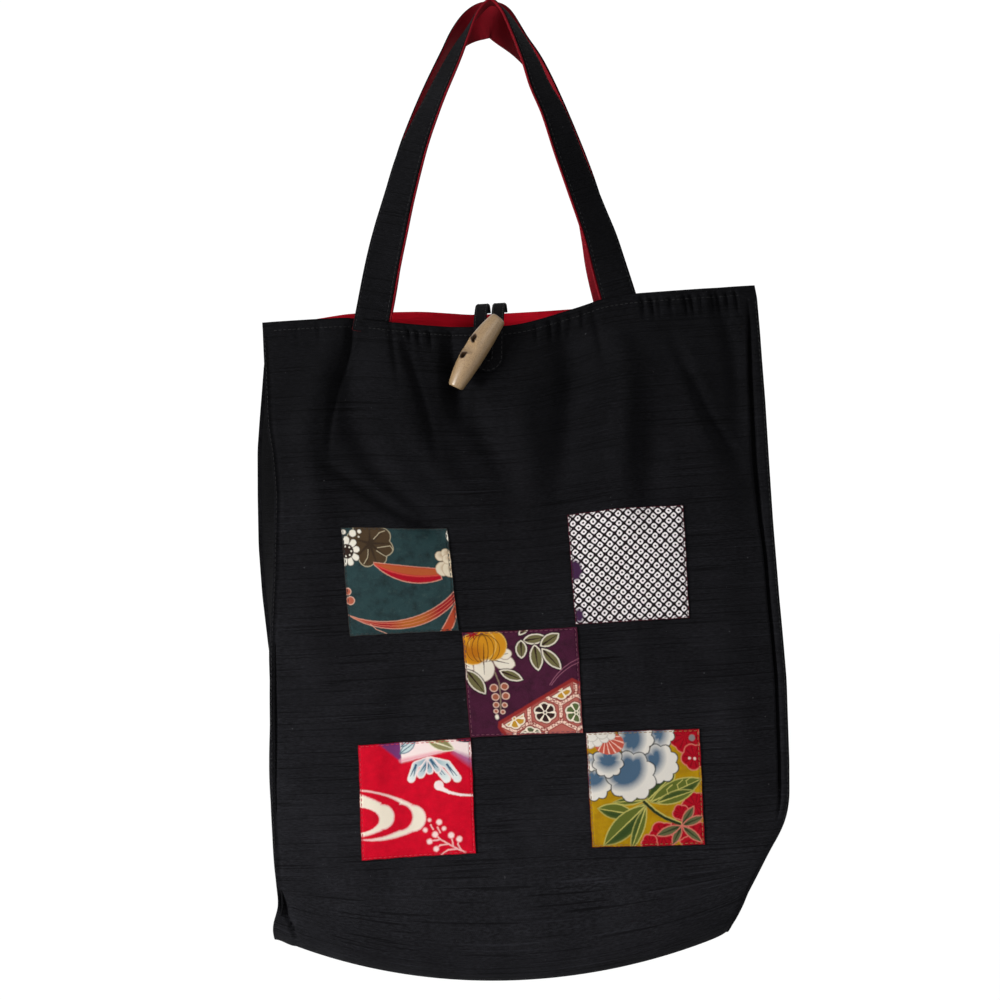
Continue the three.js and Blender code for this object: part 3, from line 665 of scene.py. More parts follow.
def red_motifs(sheet, cream):
    """Swirling water, a bellflower and a berry sprig."""
    lilac, blush, pink = srgb(116, 52, 110), srgb(244, 224, 220), srgb(236, 178, 176)
    sheet.lay(sheet.facet([(16, -2), (41, -2), (38, 17.5)]), lilac, 1.2)
    sheet.lay(sheet.facet([(37, -2), (83, -2), (83, 9), (38, 17.5)]), blush)
    sheet.lay(sheet.facet([(81, -2), (104, -2), (104, 22), (82, 9)]), blush)
    sheet.lay(sheet.drop((38, 16), (82, 8.5), 3.0, 1.4), srgb(232, 160, 170), 1.6)
    sheet.lay(sheet.drop((84, 11), (104, 23), 2.0, 9.0), srgb(170, 96, 140), 2.4)
    sheet.lay(sheet.oval((97, -1), 11, 4.5), srgb(74, 26, 52), 1.0)
    steel = srgb(84, 112, 128)
    for root, tip, width in (((36.5, 10), (51, 0), 7.5), ((38, 4), (46, -3), 5)):
        sheet.outlined(sheet.leaf(root, tip, width), srgb(198, 214, 214), steel, 0.9)
        sheet.lay(sheet.stem(root, tip, 0.9), steel, 0.4)
    olive = sheet.leaf((60, -2), (85.5, 9), 11)
    sheet.outlined(olive, srgb(138, 132, 88), srgb(232, 226, 196), 0.9)
    sheet.lay(sheet.drop((61, -1), (84, 8), 2.0, 0.5), srgb(232, 226, 196), 0.5)
    apex = (62.5, 15.5)
    petals = (
        (((61, 16), (50.5, 20.5), 4.5, 7.0), ((50.5, 20.5), (46, 32), 7.0, 7.0)),
        (((64, 16), (78, 21.5), 4.5, 7.5), ((78, 21.5), (86.5, 34), 7.5, 7.4)),
        (((62, 17), (54.5, 28.5), 6.0, 7.6),), (((64, 17), (77, 33.5), 6.0, 8.0),),
        (((63, 17), (62.5, 26), 6.0, 6.6),), (((64, 17), (69.5, 25.5), 6.0, 6.2),),
    )
    reach = sheet.reach(apex).levelled(1 / 24, 0.0)
    shade = shaded(reach, srgb(104, 146, 164), srgb(226, 232, 228))
    for strokes in petals:
        petal = functools.reduce(Value.joined, [sheet.drop(*stroke) for stroke in strokes])
        sheet.lay(petal, blush)
        sheet.lay(petal + 1.1, shade, 0.7)
        start, end = strokes[-1][:2]
        for lean in (-1.6, 1.4):
            tip = (end[0] * 0.8 + start[0] * 0.2 + lean, end[1] * 0.8 + start[1] * 0.2)
            sheet.lay(sheet.drop(start, tip, 1.7, 0.4), srgb(52, 88, 116), 0.45)
    curl = (
        ((70.5, 41), (79, 45.8), 4.6, 2.6), ((79, 45.8), (89, 48.6), 2.6, 2.0),
        ((89, 48.6), (101, 49.8), 2.0, 1.6),
    )
    sheet.lay(sheet.disc((70, 39.2), 4.2), blush)
    for start, end, first, last in curl:
        sheet.lay(sheet.drop(start, end, first, last), blush)
    swirls = []
    for upper, lower, bend, round_ in (
        (((-2, 38.2), (30, 46), (48, 55)), ((46, 78), (30, 82.6), (-2, 82)), (46, 66.4), 11.8),
        (
            ((1, 40.2), (26, 47.2), (36, 52.8)), ((34, 75.6), (22, 79.6), (-4, 81)),
            (34.6, 64.8), 11.0,
        ),
        (
            ((-2, 41.4), (12, 47.2), (22, 52.8)), ((21, 74.2), (12, 77.4), (-2, 80)),
            (19, 63.4), 11.2,
        ),
    ):
        tail = sheet.rounds(upper, lower).within(sheet.side((bend[0], 0), (bend[0], 100)))
        swirls.append(tail.joined(sheet.disc(bend, round_)))
    sheet.outlined(swirls[0].within(swirls[1] * -1.0), cream, pink, 1.1)
    crescent = swirls[2].within(sheet.oval((-4, 65), 20.5, 11) * -1.0)
    sheet.outlined(crescent, cream, pink, 1.1)
    twigs = (
        ((91, 98.5), (83, 94.5)), ((83, 94.5), (75, 89.5)), ((75, 89.5), (69, 85.5)),
        ((69, 85.5), (65, 81)), ((76, 90.5), (69, 91)), ((69, 91), (65.5, 94)),
        ((84, 95), (76, 95.5)), ((76, 95.5), (70, 99)), ((69.5, 86), (60, 87)),
        ((80.5, 92), (79, 83)), ((87, 96), (84.5, 91)), ((84.5, 91), (86, 87)),
        ((61.5, 73), (63.5, 77)), ((67.5, 75.5), (69.5, 80)),
    )
    for start, end in twigs:
        sheet.lay(sheet.stem(start, end, 1.3), pink, 0.5)
    berries = (
        ((60.5, 68.7), 1.9), ((69, 71), 2.8), ((73, 76.7), 2.2), ((56.5, 77.2), 2.4),
        ((65, 81.5), 3.0), ((60, 87.3), 2.8), ((65.5, 94), 2.7), ((79, 83), 3.0), ((86, 86.7), 2.9),
    )
    for centre, radius in berries:
        sheet.outlined(sheet.disc(centre, radius), srgb(246, 214, 208), srgb(232, 150, 152), 0.8)


def mustard_motifs(sheet, cream):
    """A peony among leaves, with crimson blossoms at the right."""
    slate, pale, crimson = srgb(72, 98, 122), srgb(226, 220, 210), srgb(170, 6, 28)
    green, light, pink = srgb(92, 102, 38), srgb(190, 182, 98), srgb(214, 120, 104)
    sheet.wear(srgb(150, 104, 8), 0.08, 0.7)
    blossoms = (
        ((87, 6), 15), ((94, 24), 12), ((93, 66), 13), ((80, 72), 8), ((63, 91), 13), ((51, 97), 8),
        ((92, 93), 15), ((78, 86), 10),
    )
    for centre, radius in blossoms:
        flower = sheet.blossom(centre, radius, 5, 0.14, 0.4)
        sheet.outlined(flower, crimson, pink, 0.9)
        spokes = abs(sheet.rays(centre, 5, radius)) - 0.3
        sheet.lay(spokes.within(sheet.disc(centre, radius * 0.75)), srgb(124, 0, 18), 0.5)
    sheet.lay(sheet.disc((93, 7.6), 2.8), srgb(132, 124, 124))
    for place in ((90, 25), (94.5, 25.6)):
        sheet.lay(sheet.disc(place, 1.2), srgb(222, 190, 180))
    leaves = (
        ((50, 61), (77, 37), 14), ((53, 62), (100, 43), 18), ((58, 63), (93, 53), 11),
        ((49, 60), (20, 61), 7), ((39, 72), (6.5, 66), 14), ((50, 62), (22, 84), 9),
        ((50, 64), (10, 99), 19), ((50, 64), (34, 104), 10),
    )
    for k, (root, tip, width) in enumerate(leaves):
        blade = sheet.leaf(root, tip, width)
        sheet.outlined(blade, green, light, 0.9)
        half = sheet.side(root, tip) if k % 2 else sheet.side(tip, root)
        sheet.lay((blade + 1.4).within(half + 0.6), srgb(50, 70, 30), 1.8)
        sheet.lay(sheet.drop(root, tip, 1.2, 0.6).within(blade + 1.0), light, 0.45)
    for share, away in ((0.35, -8), (0.55, -8), (0.72, -7)):
        root = (53 + 47 * share, 62 - 19 * share)
        (x, y), bend = root, (root[0] - 1, root[1] - 4)
        sheet.lay(sheet.path((root, bend, (x + 4, y + away)), 0.8), light, 0.45)
    stalk = ((48.5, 61), (57, 69.5), (66, 75.5), (79, 81))
    sheet.lay(sheet.path(stalk, 3.4), light)
    sheet.lay(sheet.path([(x - 0.5, y + 0.5) for x, y in stalk], 2.6), srgb(34, 46, 22))
    petals = (
        ((66, 3), 12, (60, 3), 0.0), ((5, 44), 15, (4, 36), 0.4), ((63, 29), 17, (52, 23), 0.2),
        ((43, 6), 16.5, (36, 6), 0.6), ((38, 39), 22, (31, 30), 0.1), ((4, 26), 7.5, (2, 19), 0.3),
        ((18, 26), 13.5, (18, 21), 0.8),
    )
    for centre, radius, base, turn in petals:
        petal = sheet.blossom(centre, radius, 9, 0.15, turn)
        sheet.lay(petal - 1.0, srgb(50, 50, 44), 0.7)
        sheet.lay(petal, pale)
        sheet.lay(sheet.disc(base, radius * 0.86).within(petal + 2.6), slate, 4.0)
    stamen = sheet.oval((20, 10), 13, 9.5)
    sheet.lay(stamen, srgb(196, 84, 66))
    sheet.lay((abs(sheet.rays((17, 4), 9)) - 0.35).within(stamen + 0.4), srgb(238, 196, 178), 0.25)
    for place, wide in (
        ((3, 9), 5), ((10, 8), 4.5), ((16, 5), 4.5), ((22, 3), 4), ((5, 2), 6), ((14, 0), 6),
    ):
        sheet.outlined(sheet.disc(place, wide), pale, srgb(170, 160, 150), 0.4)
    for tip, width in (
        ((92, 66), 8), ((101, 75), 7.5), ((98, 98), 7.5), ((71, 100), 7.5), ((57, 91), 8.5),
    ):
        arm = sheet.leaf((80, 83), tip, width)
        sheet.outlined(arm, srgb(96, 96, 62), pink, 0.9)
        sheet.lay(sheet.drop((80, 83), tip, 2.6, 0.3).within(arm + 1.2), srgb(50, 58, 34), 0.6)


# ------------------------------------------------------------------ cloth and wood materials


def dimmed(colour, share):
    return tuple(c * share for c in colour[:3])


def black_cotton(name, share):
    """Slubbed black cotton: crosswise streaks, fine weave, lint, and painted shade that darkens it
    towards the mouth; a share below one dims it all as painted shade.
    """
    colours = bpy.context.scene.tote_colours
    ground = dimmed(colours.black, share)
    material, shader, start = new_material(name)
    place = uv_place(start, 1 / MM)
    moved = place.vector("ADD", (137.0, 291.0, 0.0))
    streaks = drawn_out(place, 0.014, 0.34, 3.0, 0.6).levelled(3.0, -1.0)
    fine = drawn_out(place, 0.3, 1.5, 3.0, 0.7).levelled(4.5, -1.75)
    slub = drawn_out(place, 0.016, 0.8, 1.0).levelled(11.0, -6.9)
    gaps = drawn_out(moved, 0.014, 1.0, 1.0).levelled(16.0, -9.7)
    lint = drawn_out(place, 0.42, 0.42, 0.0).levelled(30.0, -26.0)
    cloudy = noise(place, 0.028, 4.0).levelled(2.4, -0.9)
    pale = noise(moved, 0.021, 3.0, 0.6).levelled(4.0, -1.9)
    # painted shade: the cloth darkens towards the mouth, where less light falls on it
    clear_of_painted_shade = place.part(1).levelled(-1 / 280, -0.2)
    tone = shaded(fine, dimmed(ground, 0.5), dimmed(ground, 1.6))
    for colour, amount in (
        (dimmed(ground, 0.6), (1.0 - streaks) * 0.45),
        (colours.black_slub[:], slub * (0.28 * share)),
        (dimmed(ground, 0.2), gaps * 0.8),
        (dimmed(ground, 0.5), cloudy * 0.55),
        (dimmed(ground, 1.8), pale * 0.32),
        # painted shade, strongest at the mouth
        (BLACK, (1.0 - clear_of_painted_shade) * 0.58),
        (srgb(80, 80, 82), lint * (0.4 * share)),
    ):
        tone = tone.mixed(colour, amount)
    threads = weave(place, 0.62)
    surface(shader, tone, threads * 0.06 + 0.88, 0.05)
    relief = threads * 0.35 + fine * 0.5 + streaks * 0.3 + slub * 0.6 - gaps * 0.9
    bumped(shader, relief, 0.3, 0.9)
    return material


def red_cotton(name, tone):
    """Plain red lining cotton."""
    material, shader, start = new_material(name)
    place = uv_place(start, 1 / MM)
    threads = weave(place, 0.45)
    streaks = drawn_out(place, 0.06, 1.4, 2.0)
    shade = shaded(noise(place, 0.06, 3.0), dimmed(tone, 0.72), dimmed(tone, 1.25))
    shade = shade.mixed(dimmed(tone, 0.55), streaks.levelled(3.0, -1.4) * 0.5)
    surface(shader, shade, threads * 0.08 + 0.68, 0.1)
    bumped(shader, threads * 0.6 + streaks * 0.5, 0.2, 0.8)
    return material


def printed_cotton(name, ground, motifs, edge):
    """A printed patch: mottled ground, motifs, frayed colour at the edge, a crepe weave and painted
    shade in the weave's hollows.
    """
    material, shader, start = new_material(name)
    percent = uv_place(start, PERCENT)
    place = wandering(percent, 0.5, 2.0, 0.9).vector("MULTIPLY", (1.0, 1.0, 0.0))
    mottle = noise(percent, 0.12, 4.0, 0.6)
    sheet = Print(place, shaded(mottle, dimmed(ground, 0.7), dimmed(ground, 1.35)))
    motifs(sheet, bpy.context.scene.tote_colours.cream[:])
    border = sheet.facet([(0, 0), (100, 0), (100, 100), (0, 100)]) * -1.0
    sheet.lay(border - (noise(percent, 0.6, 2.0) * 0.9 + 0.1), edge, 0.4)
    threads = weave(percent, 0.62)
    crepe = noise(percent, 1.1, 3.0, 0.6)
    # painted shade: the hollows between the threads are darkened; the crepe's crests are paled
    hollow_shade_and_wear = sheet.colour.mixed(BLACK, (1.0 - threads) * 0.16)
    hollow_shade_and_wear = hollow_shade_and_wear.mixed(WHITE, (crepe - 0.5).levelled(0.04, 0.0))
    surface(shader, hollow_shade_and_wear, crepe * 0.14 + 0.68, 0.08)
    bumped(shader, threads * 0.5 + crepe * 1.1, 0.22, 0.8)
    return material


def sewing_thread(name, colour):
    """Twisted sewing thread."""
    material, shader, start = new_material(name)
    place = uv_place(start, 1 / MM)
    twist = (place.part(0) * 14.0 + place.part(1) * 9.0).maths("SINE") * 0.5 + 0.5
    tone = shaded(twist, dimmed(colour, 0.6), dimmed(colour, 1.5))
    surface(shader, tone, twist * 0.2 + 0.55, 0.3)
    bumped(shader, twist, 0.08, 0.7)
    return material


def turned_wood(name, along, across, centre):
    """Pale close-grained wood, polished, grained lengthwise, with painted shade darkening the walls
    and rims of its holes.
    """
    colours = bpy.context.scene.tote_colours
    material, shader, start = new_material(name)
    place = start.node("ShaderNodeTexCoord", output="Object")
    place = place.vector("SUBTRACT", tuple(centre)).scaled(1 / MM)
    side = along.orthogonal().normalized()
    axes = (along, side, along.cross(side))
    lengths = [place.vector("DOT_PRODUCT", tuple(axis), output=1) for axis in axes]

    def fibres(lengthwise, crosswise, detail, roughness):
        scales = (lengthwise, crosswise, crosswise)
        sockets = {k: length * scale for k, (length, scale) in enumerate(zip(lengths, scales))}
        drawn = place.node("ShaderNodeCombineXYZ", None, sockets)
        return noise(drawn, 1.0, detail, roughness)

    grain, fibre = fibres(0.05, 0.75, 5.0, 0.6), fibres(0.16, 4.0, 2.0, 0.5)
    band = (grain * 9.0).maths("SINE") * 0.5 + 0.5
    specks = noise(place, 1.1, 3.0, 0.7).levelled(5.0, -2.5)
    offset = abs(lengths[0]) - HOLE_SPREAD / 2
    beside = place.vector("DOT_PRODUCT", tuple(across), output=1)
    from_hole = (offset * offset + beside * beside).maths("SQRT")
    # painted shade: the holes' walls and a thin rim round them are darkened
    hole_painted_shade = from_hole.levelled(-1.4, 1.4 * (HOLE_RADIUS + 0.9))
    ends = abs(lengths[0]).levelled(0.5, -11.8)
    tone = shaded(band * 0.75, colours.wood[:], colours.wood_grain[:])
    for colour, amount in (
        (dimmed(colours.wood_grain, 0.7), fibre.levelled(4.0, -2.3) * 0.5),
        (dimmed(colours.wood_grain, 0.75), specks * 0.55),
        (srgb(44, 25, 15), hole_painted_shade * 0.88),
        (dimmed(colours.wood, 0.8), ends * 0.5),
    ):
        tone = tone.mixed(colour, amount)
    surface(shader, tone, fibre * 0.12 + 0.32, 0.5)
    shader.inputs["Coat Weight"].default_value = 0.25
    shader.inputs["Coat Roughness"].default_value = 0.22
    bumped(shader, fibre + grain, 0.06, 0.5)
    return material


# ------------------------------------------------------------------ the hang of the cloth


def clamp01(t):
    return np.clip(t, 0.0, 1.0)


def smooth(t):
    t = clamp01(t)
    return t * t * (3 - 2 * t)


def rise(at, start, reach):
    """Goes smoothly from 0 to 1 over a reach."""
    return smooth((at - start) / reach)


def ridge(away, width):
    """One on a line, falling off smoothly to both sides of it."""
    return np.exp(-((away / width) ** 2))


def lerp(a, b, t):
    return a + (b - a) * t


def along_table(table, at, ease=6.0):
    """Reads a table of (places, values) between its places, with its corners eased."""
    steps = np.linspace(-ease, ease, 7)
    return np.mean([np.interp(at + step, *table) for step in steps], axis=0)


def hang_z(x, drop, edge):
    """Height on a panel: the mouth's tilt and dip, the base's sag, the lifted lower left corner."""
    tilt = MOUTH_TILT * x / HALF * (1 - drop / FACE_LENGTH)
    sunk = along_table(edge, x) * clamp01(1 - drop / DIP_REACH)
    ear = 4.0 * smooth((-HALF - x) / 13) * rise(drop, 350, 20)
    sag = BASE_SAG * clamp01(1 - ((x - BASE_SAG_SHIFT) / (HALF + BASE_SAG_SHIFT)) ** 2)
    sag = sag * rise(drop, SAG_START, FACE_LENGTH - SAG_START)
    return -MOUTH_DROP - drop + tilt - sunk + ear - sag


def front_y(x, drop):
    """The front's swelling towards the viewer, with the soft folds that hang from the handles."""
    belly = -lerp(MOUTH_FRONT, BELLY_FRONT, smooth(drop / BELLY_DROP)) + SIDE_FALL * (x / HALF) ** 4
    folds = sum(ridge(x - leg, STRAP_FOLD_WIDTH) for leg in LEG_X)
    return belly - STRAP_FOLD * np.sin(np.pi * clamp01(drop / STRAP_FOLD_LENGTH)) * folds


def back_y(x, drop):
    return BACK_DEPTH + 0.0 * x


FRONT = {"edge": FRONT_EDGE, "y": front_y, "inward": 1.0, "sides": (FRONT_LEFT, FRONT_RIGHT)}
BACK = {"edge": BACK_EDGE, "y": back_y, "inward": -1.0, "sides": (BACK_LEFT, BACK_RIGHT)}


def panel_point(panel, x, drop, turn, under, inset):
    """A place on a panel: down its face, round the base, then under it to the middle seam."""
    radius = BASE_ROUND - inset
    inward = panel["inward"]
    rounded = panel["y"](x, drop) + inward * BASE_ROUND - inward * radius * np.cos(turn)
    y = lerp(rounded, SEAM_Y, under)
    z = hang_z(x, drop, panel["edge"]) - radius * np.sin(turn)
    return np.stack(np.broadcast_arrays(x, y, z), -1)


def side_x(panel, side, drop, turn=0.0):
    """Where a panel's side seam lies: the right one slants in to the base."""
    low = drop + BASE_ROUND * np.sin(turn)
    return side * (along_table(panel["sides"][int(side > 0)], low, 4.0) - FLANGE)


def pucker(x, drop):
    """Short gathers under the hem's stitches."""
    total = 0.0 * (x + drop)
    for place, depth, lean in PUCKERS:
        middle = place + lean * drop / 14
        total = total - PUCKER_DEPTH * depth * ridge(x - middle, PUCKER_WIDTH)
    return total * rise(drop, 0.5, 5) * (1 - rise(drop, 7, 13))


def hem_relief(drop, roll, groove):
    """The rolled mouth edge and the groove that its stitches pull."""
    return roll * ridge(drop, 4.0) - groove * ridge(drop - HEM_DROP, 1.1)


def above_base(drop):
    return 1 - rise(drop, FACE_LENGTH - BASE_FADE, BASE_FADE)


def front_relief(x, drop, turn=0.0):
    """How far the front's cloth stands out from its plain hang: folds, puckers, seams, slack."""
    total = pucker(x, drop)
    for drops, middles, width, heights in FOLDS:
        middle, height = along_table((drops, middles), drop), along_table((drops, heights), drop)
        total = total + FOLD_DEPTH * height * ridge(x - middle, width)
    slack = (
        0.6 * np.sin(x / 21 + 0.9 * np.sin(drop / 47) + 0.8)
        + 0.5 * np.sin(x / 12.5 - drop / 70 + 2.1)
        + 0.45 * np.sin(drop / 23 + 0.8 * np.sin(x / 40))
        + 0.25 * np.sin(x / 7.0 + drop / 19 + np.sin(drop / 31))
    )
    total = total + slack * rise(drop, 30, 60)
    away = ((x - TOGGLE_X) ** 2 + (drop - TOGGLE_DROP) ** 2) / TOGGLE_SWEEP**2
    total = np.where(total > 0, total * (1 - ridge(away, 1.0)), total)
    return total * above_base(drop) + edge_relief(x, drop, turn) + hem_relief(drop, 0.35, 0.35)


def edge_relief(x, drop, turn):
    """The front's side edges: the slit at the right, the left seam, the boxed lower corner."""
    right = side_x(FRONT, 1, drop, turn) + FLANGE - x
    left = x - side_x(FRONT, -1, drop, turn) + FLANGE
    low = drop + BASE_ROUND * np.sin(turn)
    place, width = along_table(SLIT[:2], drop), along_table(SLIT[::2], drop)
    slit = ridge(right - 2.6, 2.2) - SLIT_DEPTH * ridge(right - place, SLIT_NARROW * width)
    slit = slit * rise(drop, 4, 40) * (1 - rise(drop, 296, 30))
    rolled = -3.5 * np.exp(-right / 3.0) * rise(drop, 305, 25)
    seam = 0.9 * ridge(left, 1.6) - 0.7 * ridge(left - 3.4, 1.2)
    seam = seam * smooth(drop / 20) * (1 - rise(drop, 330, 25))
    crease = -3.0 * ridge(x - along_table(EAR_CREASE, low, 2.0), 1.4)
    crease = crease * rise(low, 346, 10) * (1 - smooth(turn / 0.8))
    hollow = -3.0 * ridge(x + 154.5, 3.6) * ridge(low - 361, 8)
    return slit + rolled + seam + crease + hollow


def back_relief(x, drop, turn=0.0):
    """The flat back hangs nearly plain, with a little slack and its own edge seams."""
    slack = 0.5 * np.sin(x / 26 + 0.7 * np.sin(drop / 61)) + 0.35 * np.sin(x / 15 - drop / 80 + 1.4)
    total = (slack - 0.8) * rise(drop, 15, 60)
    for side in (-1, 1):
        edge = side * (side_x(BACK, side, drop, turn) - x)
        total = total - 1.2 * ridge(edge - 3.8, 1.4) * rise(drop, 4, 30)
    return total * above_base(drop) + hem_relief(drop, 0.2, 0.3)


def panel_rows(step):
    """Drop, turn and under for each row of a panel, close together at the hem."""
    band, step_there = FINE_ROWS
    coarse = np.arange(band, FACE_LENGTH - 0.5, step)
    face = np.concatenate([np.arange(0, band, step_there), coarse, [FACE_LENGTH]])
    turns, unders = np.linspace(0, np.pi / 2, 11)[1:], np.linspace(0, 1, 7)[1:]
    drop = np.concatenate([face, np.full(len(turns) + len(unders), FACE_LENGTH)])
    turn = np.concatenate([0 * face, turns, np.full(len(unders), np.pi / 2)])
    under = np.concatenate([0 * face, 0 * turns, unders])
    return drop[:, None], turn[:, None], under[:, None]


def panel_columns(step):
    """Shares of the width, close together near both side seams."""
    band, step_there = FINE_COLUMNS
    edge = np.arange(0, band, step_there) / (2 * HALF)
    middle = np.linspace(edge[-1], 1 - edge[-1], int(2 * HALF / step))
    return np.concatenate([edge[:-1], middle, 1 - edge[:-1][::-1]])[None, :]


# ------------------------------------------------------------------ meshes


def unit(ways):
    return ways / np.linalg.norm(ways, axis=-1, keepdims=True)


def run_along(points):
    """How far along a line each of its points lies."""
    return np.concatenate([[0], np.cumsum(np.linalg.norm(np.diff(points, axis=0), axis=1))])


def read_line(at, run, line):
    """Places on a line at given runs along it."""
    return np.stack([np.interp(at, run, column) for column in line.T], -1)


def strip_columns(half, edges, count):
    """Places across a strip, close together near both edges and even from the last of them."""
    edges = np.asarray(edges, float)
    even = np.linspace(edges[-1] - half, half - edges[-1], count)
    return np.concatenate([edges[:-1] - half, even, half - edges[-2::-1]])


def flat_places(across, along):
    """Cloth coordinates of a grid from its places across and along."""
    return np.stack(np.broadcast_arrays(across, along), -1)


def new_piece(name, points, faces, uv, material=None):
    """A smooth mesh piece from millimetre points. uv has one place per point."""
    points, faces = np.asarray(points, float), np.asarray(faces)
    if signed_volume(points, faces) < 0:
        faces = faces[:, ::-1]
    mesh = bpy.data.meshes.new(name)
    mesh.from_pydata((points * MM).tolist(), [], faces.tolist())
    layer = mesh.uv_layers.new(name="cloth")
    layer.data.foreach_set("uv", np.asarray(uv, float)[faces.ravel()].ravel())
    if material:
        mesh.materials.append(material)
    mesh.polygons.foreach_set("use_smooth", np.ones(len(faces), bool))
    mesh.update()
    if mesh.validate():
        raise RuntimeError(f"{name} has faces that aren't valid")
    piece = bpy.data.objects.new(name, mesh)
    bpy.context.scene.collection.objects.link(piece)
    return piece


def signed_volume(points, faces):
    a, b, c, d = (points[faces[:, k]] for k in range(4))
    first, second = np.cross(b - a, c - a) * (a + b + c), np.cross(c - a, d - a) * (a + c + d)
    return float(np.sum(first) + np.sum(second))


def shell_faces(rows, columns):
    """Quads of a closed shell between two like grids, the second's points after the first's."""
    count = rows * columns
    grid = np.arange(count).reshape(rows, columns)
    face = np.stack([grid[:-1, :-1], grid[1:, :-1], grid[1:, 1:], grid[:-1, 1:]], -1).reshape(-1, 4)
    rim = np.concatenate([grid[0, :], grid[1:, -1], grid[-1, -2::-1], grid[-2:0:-1, 0]])
    after = np.roll(rim, -1)
    sides = np.stack([rim, after, after + count, rim + count], -1)
    return np.concatenate([face, face[:, ::-1] + count, sides])


def cloth_piece(name, face, back, uv, material):
    """A closed thin piece of cloth between a face grid and a back grid."""
    rows, columns = face.shape[:2]
    points = np.concatenate([face.reshape(-1, 3), back.reshape(-1, 3)])
    flat = np.concatenate([uv.reshape(-1, 2)] * 2) * MM
    return new_piece(name, points, shell_faces(rows, columns), flat, material)


def stitch_line(path, normal, length, gap, thread, close):
    """Points, faces and uv of the stitches that lie along a path on the cloth."""
    path, normal = np.asarray(path, float), np.asarray(normal, float)
    if close:
        path, normal = np.concatenate([path, path[:1]]), np.concatenate([normal, normal[:1]])
    run = run_along(path)
    count = max(1, int(run[-1] // (length + gap)))
    pitch = run[-1] / count
    at = (np.arange(count) + 0.5) * pitch
    half = length / 2 * pitch / (length + gap)
    ends = (np.minimum(at + half, run[-1]), np.maximum(at - half, 0))
    middle, (fore, aft) = read_line(at, run, path), (read_line(end, run, path) for end in ends)
    ahead = unit(fore - aft)
    up = read_line(at, run, normal)
    up = unit(up - ahead * np.sum(up * ahead, axis=1, keepdims=True))
    across = np.cross(ahead, up)
    stations = np.array([-1.0, -0.82, -0.3, 0.3, 0.82, 1.0])
    girth = np.array([0.25, 0.72, 1.0, 1.0, 0.72, 0.25])
    rise_at = np.array([-0.75, -0.1, 0.35, 0.35, -0.1, -0.75])
    sides, rings, radius = 6, len(stations), thread / 2
    angles = 2 * np.pi * np.arange(sides) / sides
    along = (stations * half)[:, None, None]
    ring_up = (radius * (girth[:, None] * np.sin(angles)[None] + rise_at[:, None]))[:, :, None]
    ring_side = (radius * girth[:, None] * np.cos(angles)[None])[:, :, None]
    points = (
        middle[:, None, None]
        + ahead[:, None, None] * along[None]
        + up[:, None, None] * ring_up[None]
        + across[:, None, None] * ring_side[None]
    )
    one = np.arange(rings * sides).reshape(rings, sides)
    after = np.roll(one, -1, axis=1)
    quads = np.stack([one[:-1], after[:-1], after[1:], one[1:]], -1).reshape(-1, 4)
    caps = np.array([[0, 5, 4, 3], [0, 3, 2, 1]])
    faces = np.concatenate([quads, caps, caps[:, ::-1] + (rings - 1) * sides])
    faces = (faces[None] + (np.arange(count) * rings * sides)[:, None, None]).reshape(-1, 4)
    flat = flat_places(stations[:, None] * half, angles[None] * radius)
    uv = np.broadcast_to(flat, (count, rings, sides, 2))
    return points.reshape(-1, 3), faces, uv.reshape(-1, 2) * MM


def stitched(name, lines, material):
    """One piece of all the stitches along several lines."""
    sizes = bpy.context.scene.tote_sizes
    stitch = [size / MM for size in (sizes.stitch, sizes.stitch_gap, sizes.thread)]
    points, faces, uvs, first = [], [], [], 0
    for path, normal, close in lines:
        p, f, uv = stitch_line(path, normal, *stitch, close)
        points.append(p)
        faces.append(f + first)
        uvs.append(uv)
        first += len(p)
    return new_piece(name, *(np.concatenate(parts) for parts in (points, faces, uvs)), material)


def get_material(name, make, *values):
    return bpy.data.materials.get(name) or make(name, *values)


def black():
    return get_material("black_slub_cotton", black_cotton, 1.0)


# The gussets get a dimmed copy of the black cloth: painted shade for their shaded sides.
def gusset_painted_shade_black():
    return get_material("black_gusset_cotton", black_cotton, 0.4)


def red():
    return get_material("red_lining_cotton", red_cotton, bpy.context.scene.tote_colours.lining[:])


# A darker copy of the red lining cotton: painted shade on the handles.
def strap_painted_shade_red():
    return get_material(
        "red_strap_cotton", red_cotton, bpy.context.scene.tote_colours.strap_lining_painted_shade[:],
    )


def black_thread():
    return get_material(
        "black_sewing_thread", sewing_thread, bpy.context.scene.tote_colours.thread[:],
    )


# ------------------------------------------------------------------ panels, gussets and linings


def panel_grid(panel, relief, edge, inset, rows, columns):
    """A panel's grid at an inset behind its face, reaching edge past the side seams."""
    drop, turn, under = rows
    left, right = side_x(panel, -1, drop, turn) - edge, side_x(panel, 1, drop, turn) + edge
    x = lerp(left, right, columns)
    out = relief(x, drop, turn) * (1 - under)
    grid = panel_point(panel, x, drop, turn, under, inset - out)
    length = drop + BASE_ROUND * turn + UNDER_LENGTH * under
    return grid, flat_places(x, -length)


def panel_piece(name, panel, relief, edge, inset, thickness, material):
    sizes = bpy.context.scene.tote_sizes
    rows, columns = panel_rows(sizes.row / MM), panel_columns(sizes.column / MM)
    face, uv = panel_grid(panel, relief, edge, inset, rows, columns)
    back, _ = panel_grid(panel, relief, edge, inset + thickness, rows, columns)
    return cloth_piece(name, face, back, uv, material)


